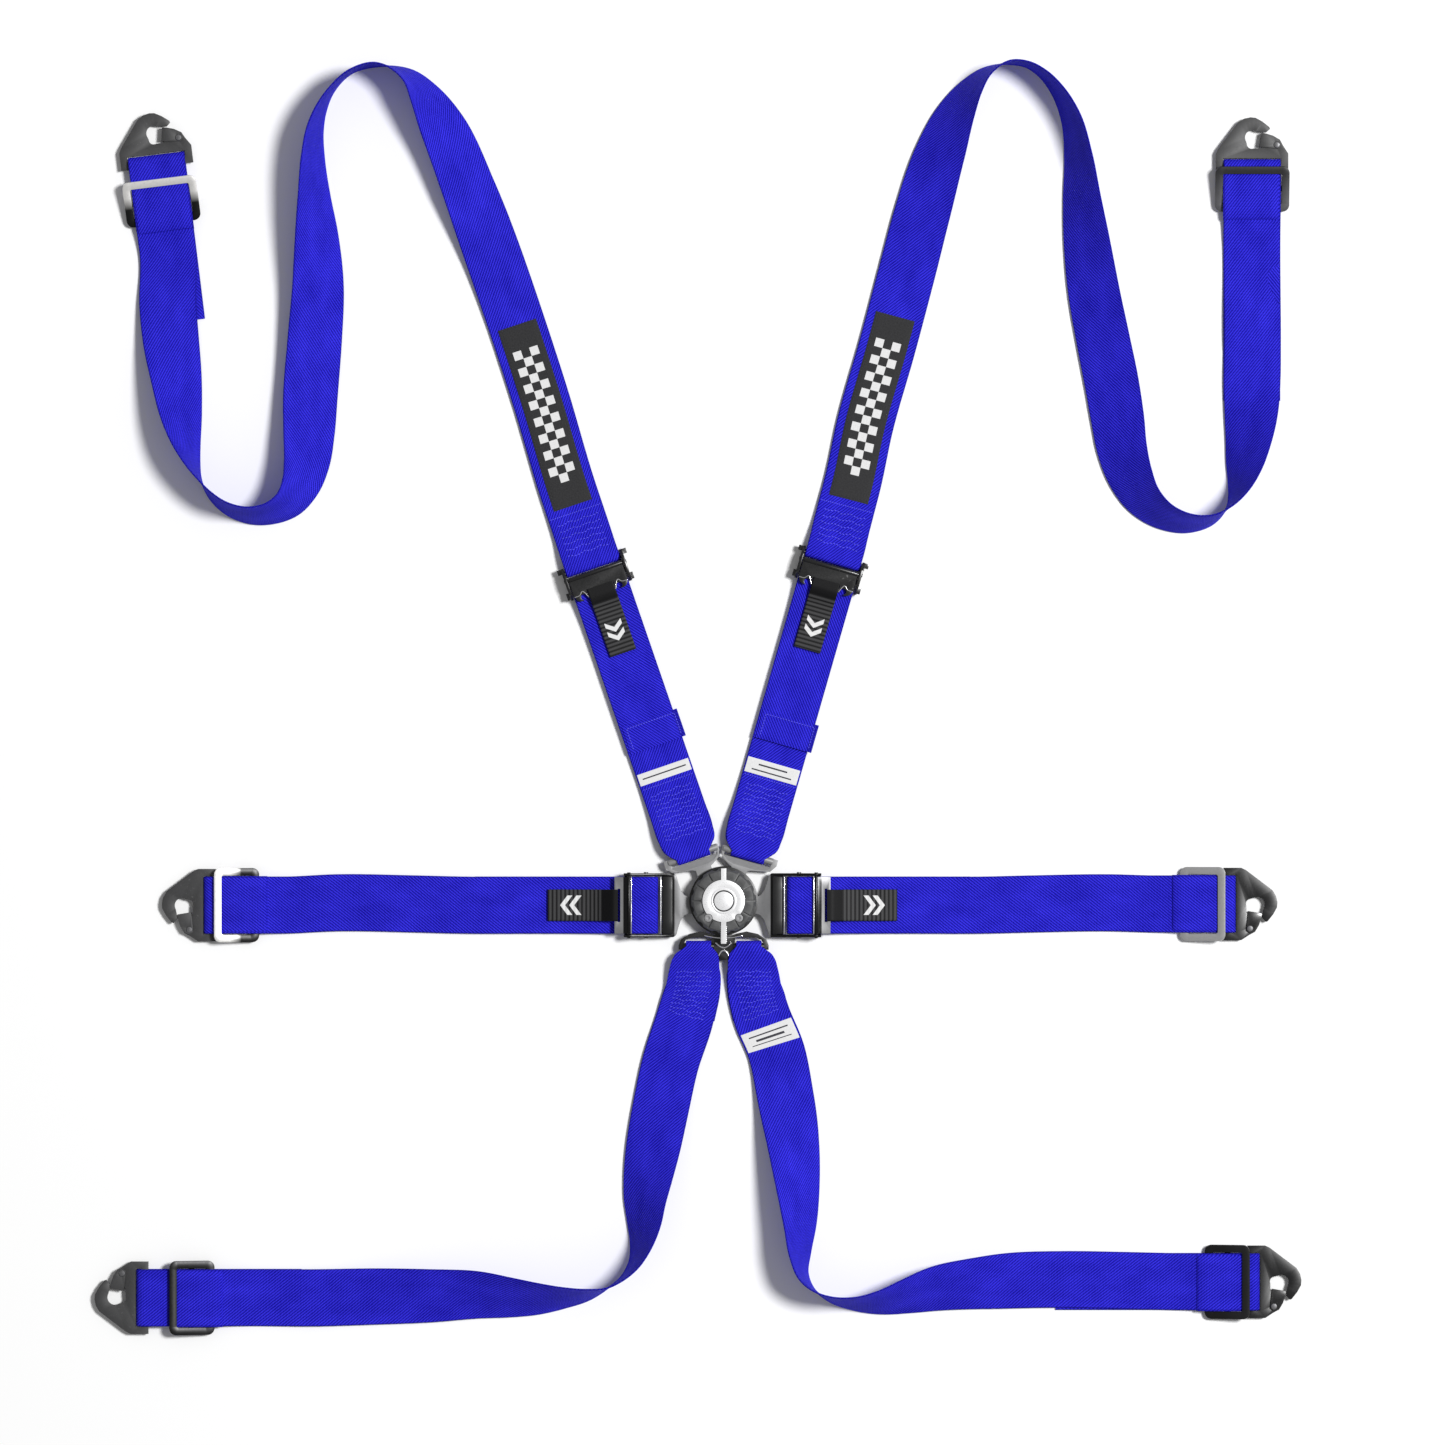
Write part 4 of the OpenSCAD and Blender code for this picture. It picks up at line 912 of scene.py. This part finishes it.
def wire(name, body, points, radius):
    """A round bright wire through the points."""
    sides = 6
    verts = []
    for k, p in enumerate(points):
        a, b = points[max(k - 1, 0)], points[min(k + 1, len(points) - 1)]
        run = (b - a).normalized()
        side = run.cross(Vector((0, 0, 1))).normalized()
        for j in range(sides):
            t = 2 * math.pi * j / sides
            verts.append(p + side * radius * math.cos(t) + Vector((0, 0, 1)) * radius * math.sin(t))
    make(name, verts, tube_faces(len(points), sides), chrome, body)


# The bright chrome line along each shoulder lever's edge, which is cut in two waves
for i, side in enumerate(SIDES):
    t = math.radians(SHOULDER[i].heading)
    base = along(SHOULDER[i], ADJUSTER_S, 0, SHOULDER[i].heading)
    for k in (-1, 1):
        points = []
        for j in range(41):
            v = 24.3 - 12.3 * j / 40
            u = -9.3 + 3.0 * math.exp(-((v - 16.45) / 2.1) ** 2) - 3.6 / (1 + math.exp((v - 13.4) * 2.2))
            points.append(Vector((base[0] + u * math.cos(t) - k * v * math.sin(t),
                                  base[1] + u * math.sin(t) + k * v * math.cos(t), 13.5)))
        wire(f"{side}_shoulder_lever_edge_{'a' if k < 0 else 'b'}", f"{side}_shoulder_lever", points, 0.55)

# The grey panel that closes each shoulder tongue's frame in front of the webbing, so that no floor shows
# through it
PANEL = [(-5.4, 21.2), (-6.1, 21.2), (-9.6, 17.0), (-11.1, 10.2), (-11.1, -10.2), (-9.6, -16.1),
         (-6.1, -20.5), (-5.4, -20.5)]
for i, side in enumerate(SIDES):
    x, y, d = SHOULDER[i]
    t = math.radians(d)
    hand = 1 - 2 * i
    verts = []
    for z in (7.9, 9.9):
        for u, v in PANEL:
            verts.append((x + u * math.cos(t) - hand * v * math.sin(t),
                          y + u * math.sin(t) + hand * v * math.cos(t), z))
    faces = tube_faces(2, len(PANEL))
    if hand > 0:
        faces = [tuple(reversed(f)) for f in faces]
    make(f"{side}_shoulder_tongue_panel", verts, faces, steel_grey, f"{side}_shoulder",
         sharp=30)

# The polished ridges of the crotch tongue's web, between the two leg straps
CROTCH_PLATE_TOP = 10.5
for part, x_end, y_end, y_mid, radius in (("arc", 17, -30.4, -32.6, 0.9), ("upper", 7, -36.6, -41, 1.1),
                                          ("lower", 4.6, -48.6, -43.6, 1.1)):
    points = []
    for j in range(-12, 13):
        points.append(Vector((x_end * j / 12, y_mid + (y_end - y_mid) * (j / 12) ** 2, CROTCH_PLATE_TOP)))
    wire(f"crotch_tongue_{part}_ridge", "crotch", points, radius)


def cap_inlay():
    """A dark line let into the cap's groove."""
    count = 96
    profile = ((8.25, 24.15), (8.3, 24.42), (8.8, 24.5), (9.3, 24.42), (9.35, 24.15))
    m = len(profile)
    verts = []
    for j in range(count):
        t = 2 * math.pi * j / count
        for r, z in profile:
            verts.append((r * math.cos(t), r * math.sin(t), z))
    faces = []
    for j in range(count):
        a, b = m * j, m * ((j + 1) % count)
        faces += [(a + k, a + k + 1, b + k + 1, b + k) for k in range(m - 1)]
    for j in range(count):
        a, b = m * j, m * ((j + 1) % count)
        faces.append((a + m - 1, a, b, b + m - 1))
    make("knob_cap_inlay", verts, faces, gloss_black, "knob")


cap_inlay()


# ---- Stage, light and camera, in metres -----------------------------------

def flat_stage(name, half, z):
    mesh = bpy.data.meshes.new(name)
    corners = [(-half, -half, z), (half, -half, z), (half, half, z), (-half, half, z)]
    mesh.from_pydata(corners, [], [(0, 1, 2, 3)])
    obj = bpy.data.objects.new(name, mesh)
    bpy.context.scene.collection.objects.link(obj)
    m = Nodes("pale_floor")
    mesh.materials.append(m.finish((0.93, 0.93, 0.93), 0.9, Specular_IOR_Level=0.0))


def area_light(name, place, target, size, watts):
    data = bpy.data.lights.new(name, "AREA")
    data.shape, data.size, data.energy = "DISK", size, watts
    obj = bpy.data.objects.new(name, data)
    bpy.context.scene.collection.objects.link(obj)
    obj.location = place
    obj.rotation_mode = "QUATERNION"
    obj.rotation_quaternion = (Vector(target) - Vector(place)).to_track_quat("-Z", "Y")


FLOOR_HALF, FLOOR_Z = 12.0, -0.0002
WORLD_STRENGTH = 0.28
CAMERA_TARGET, CAMERA_HEIGHT, FIELD, SENSOR = Vector((-0.001, 0.156, 0.0)), 8.0, 1.267, 36

flat_stage("floor", FLOOR_HALF, FLOOR_Z)
world = bpy.data.worlds.new("studio")
bpy.context.scene.world = world
world.use_nodes = True
background = world.node_tree.nodes["Background"]
background.inputs["Color"].default_value = (1, 1, 1, 1)
background.inputs["Strength"].default_value = WORLD_STRENGTH
area_light("key", (4.2, 1.5, 7.8), (0, 0.15, 0), 2.0, 820)

# The camera looks straight down, and FIELD is the width of the floor that it sees
camera = bpy.data.cameras.new("camera")
camera.sensor_width = SENSOR
camera.lens = SENSOR * CAMERA_HEIGHT / FIELD
camera.clip_end = 200
view = bpy.data.objects.new("camera", camera)
bpy.context.scene.collection.objects.link(view)
view.location = CAMERA_TARGET + Vector((0, 0, CAMERA_HEIGHT))
bpy.context.scene.camera = view
bpy.context.scene.view_settings.view_transform = "Standard"
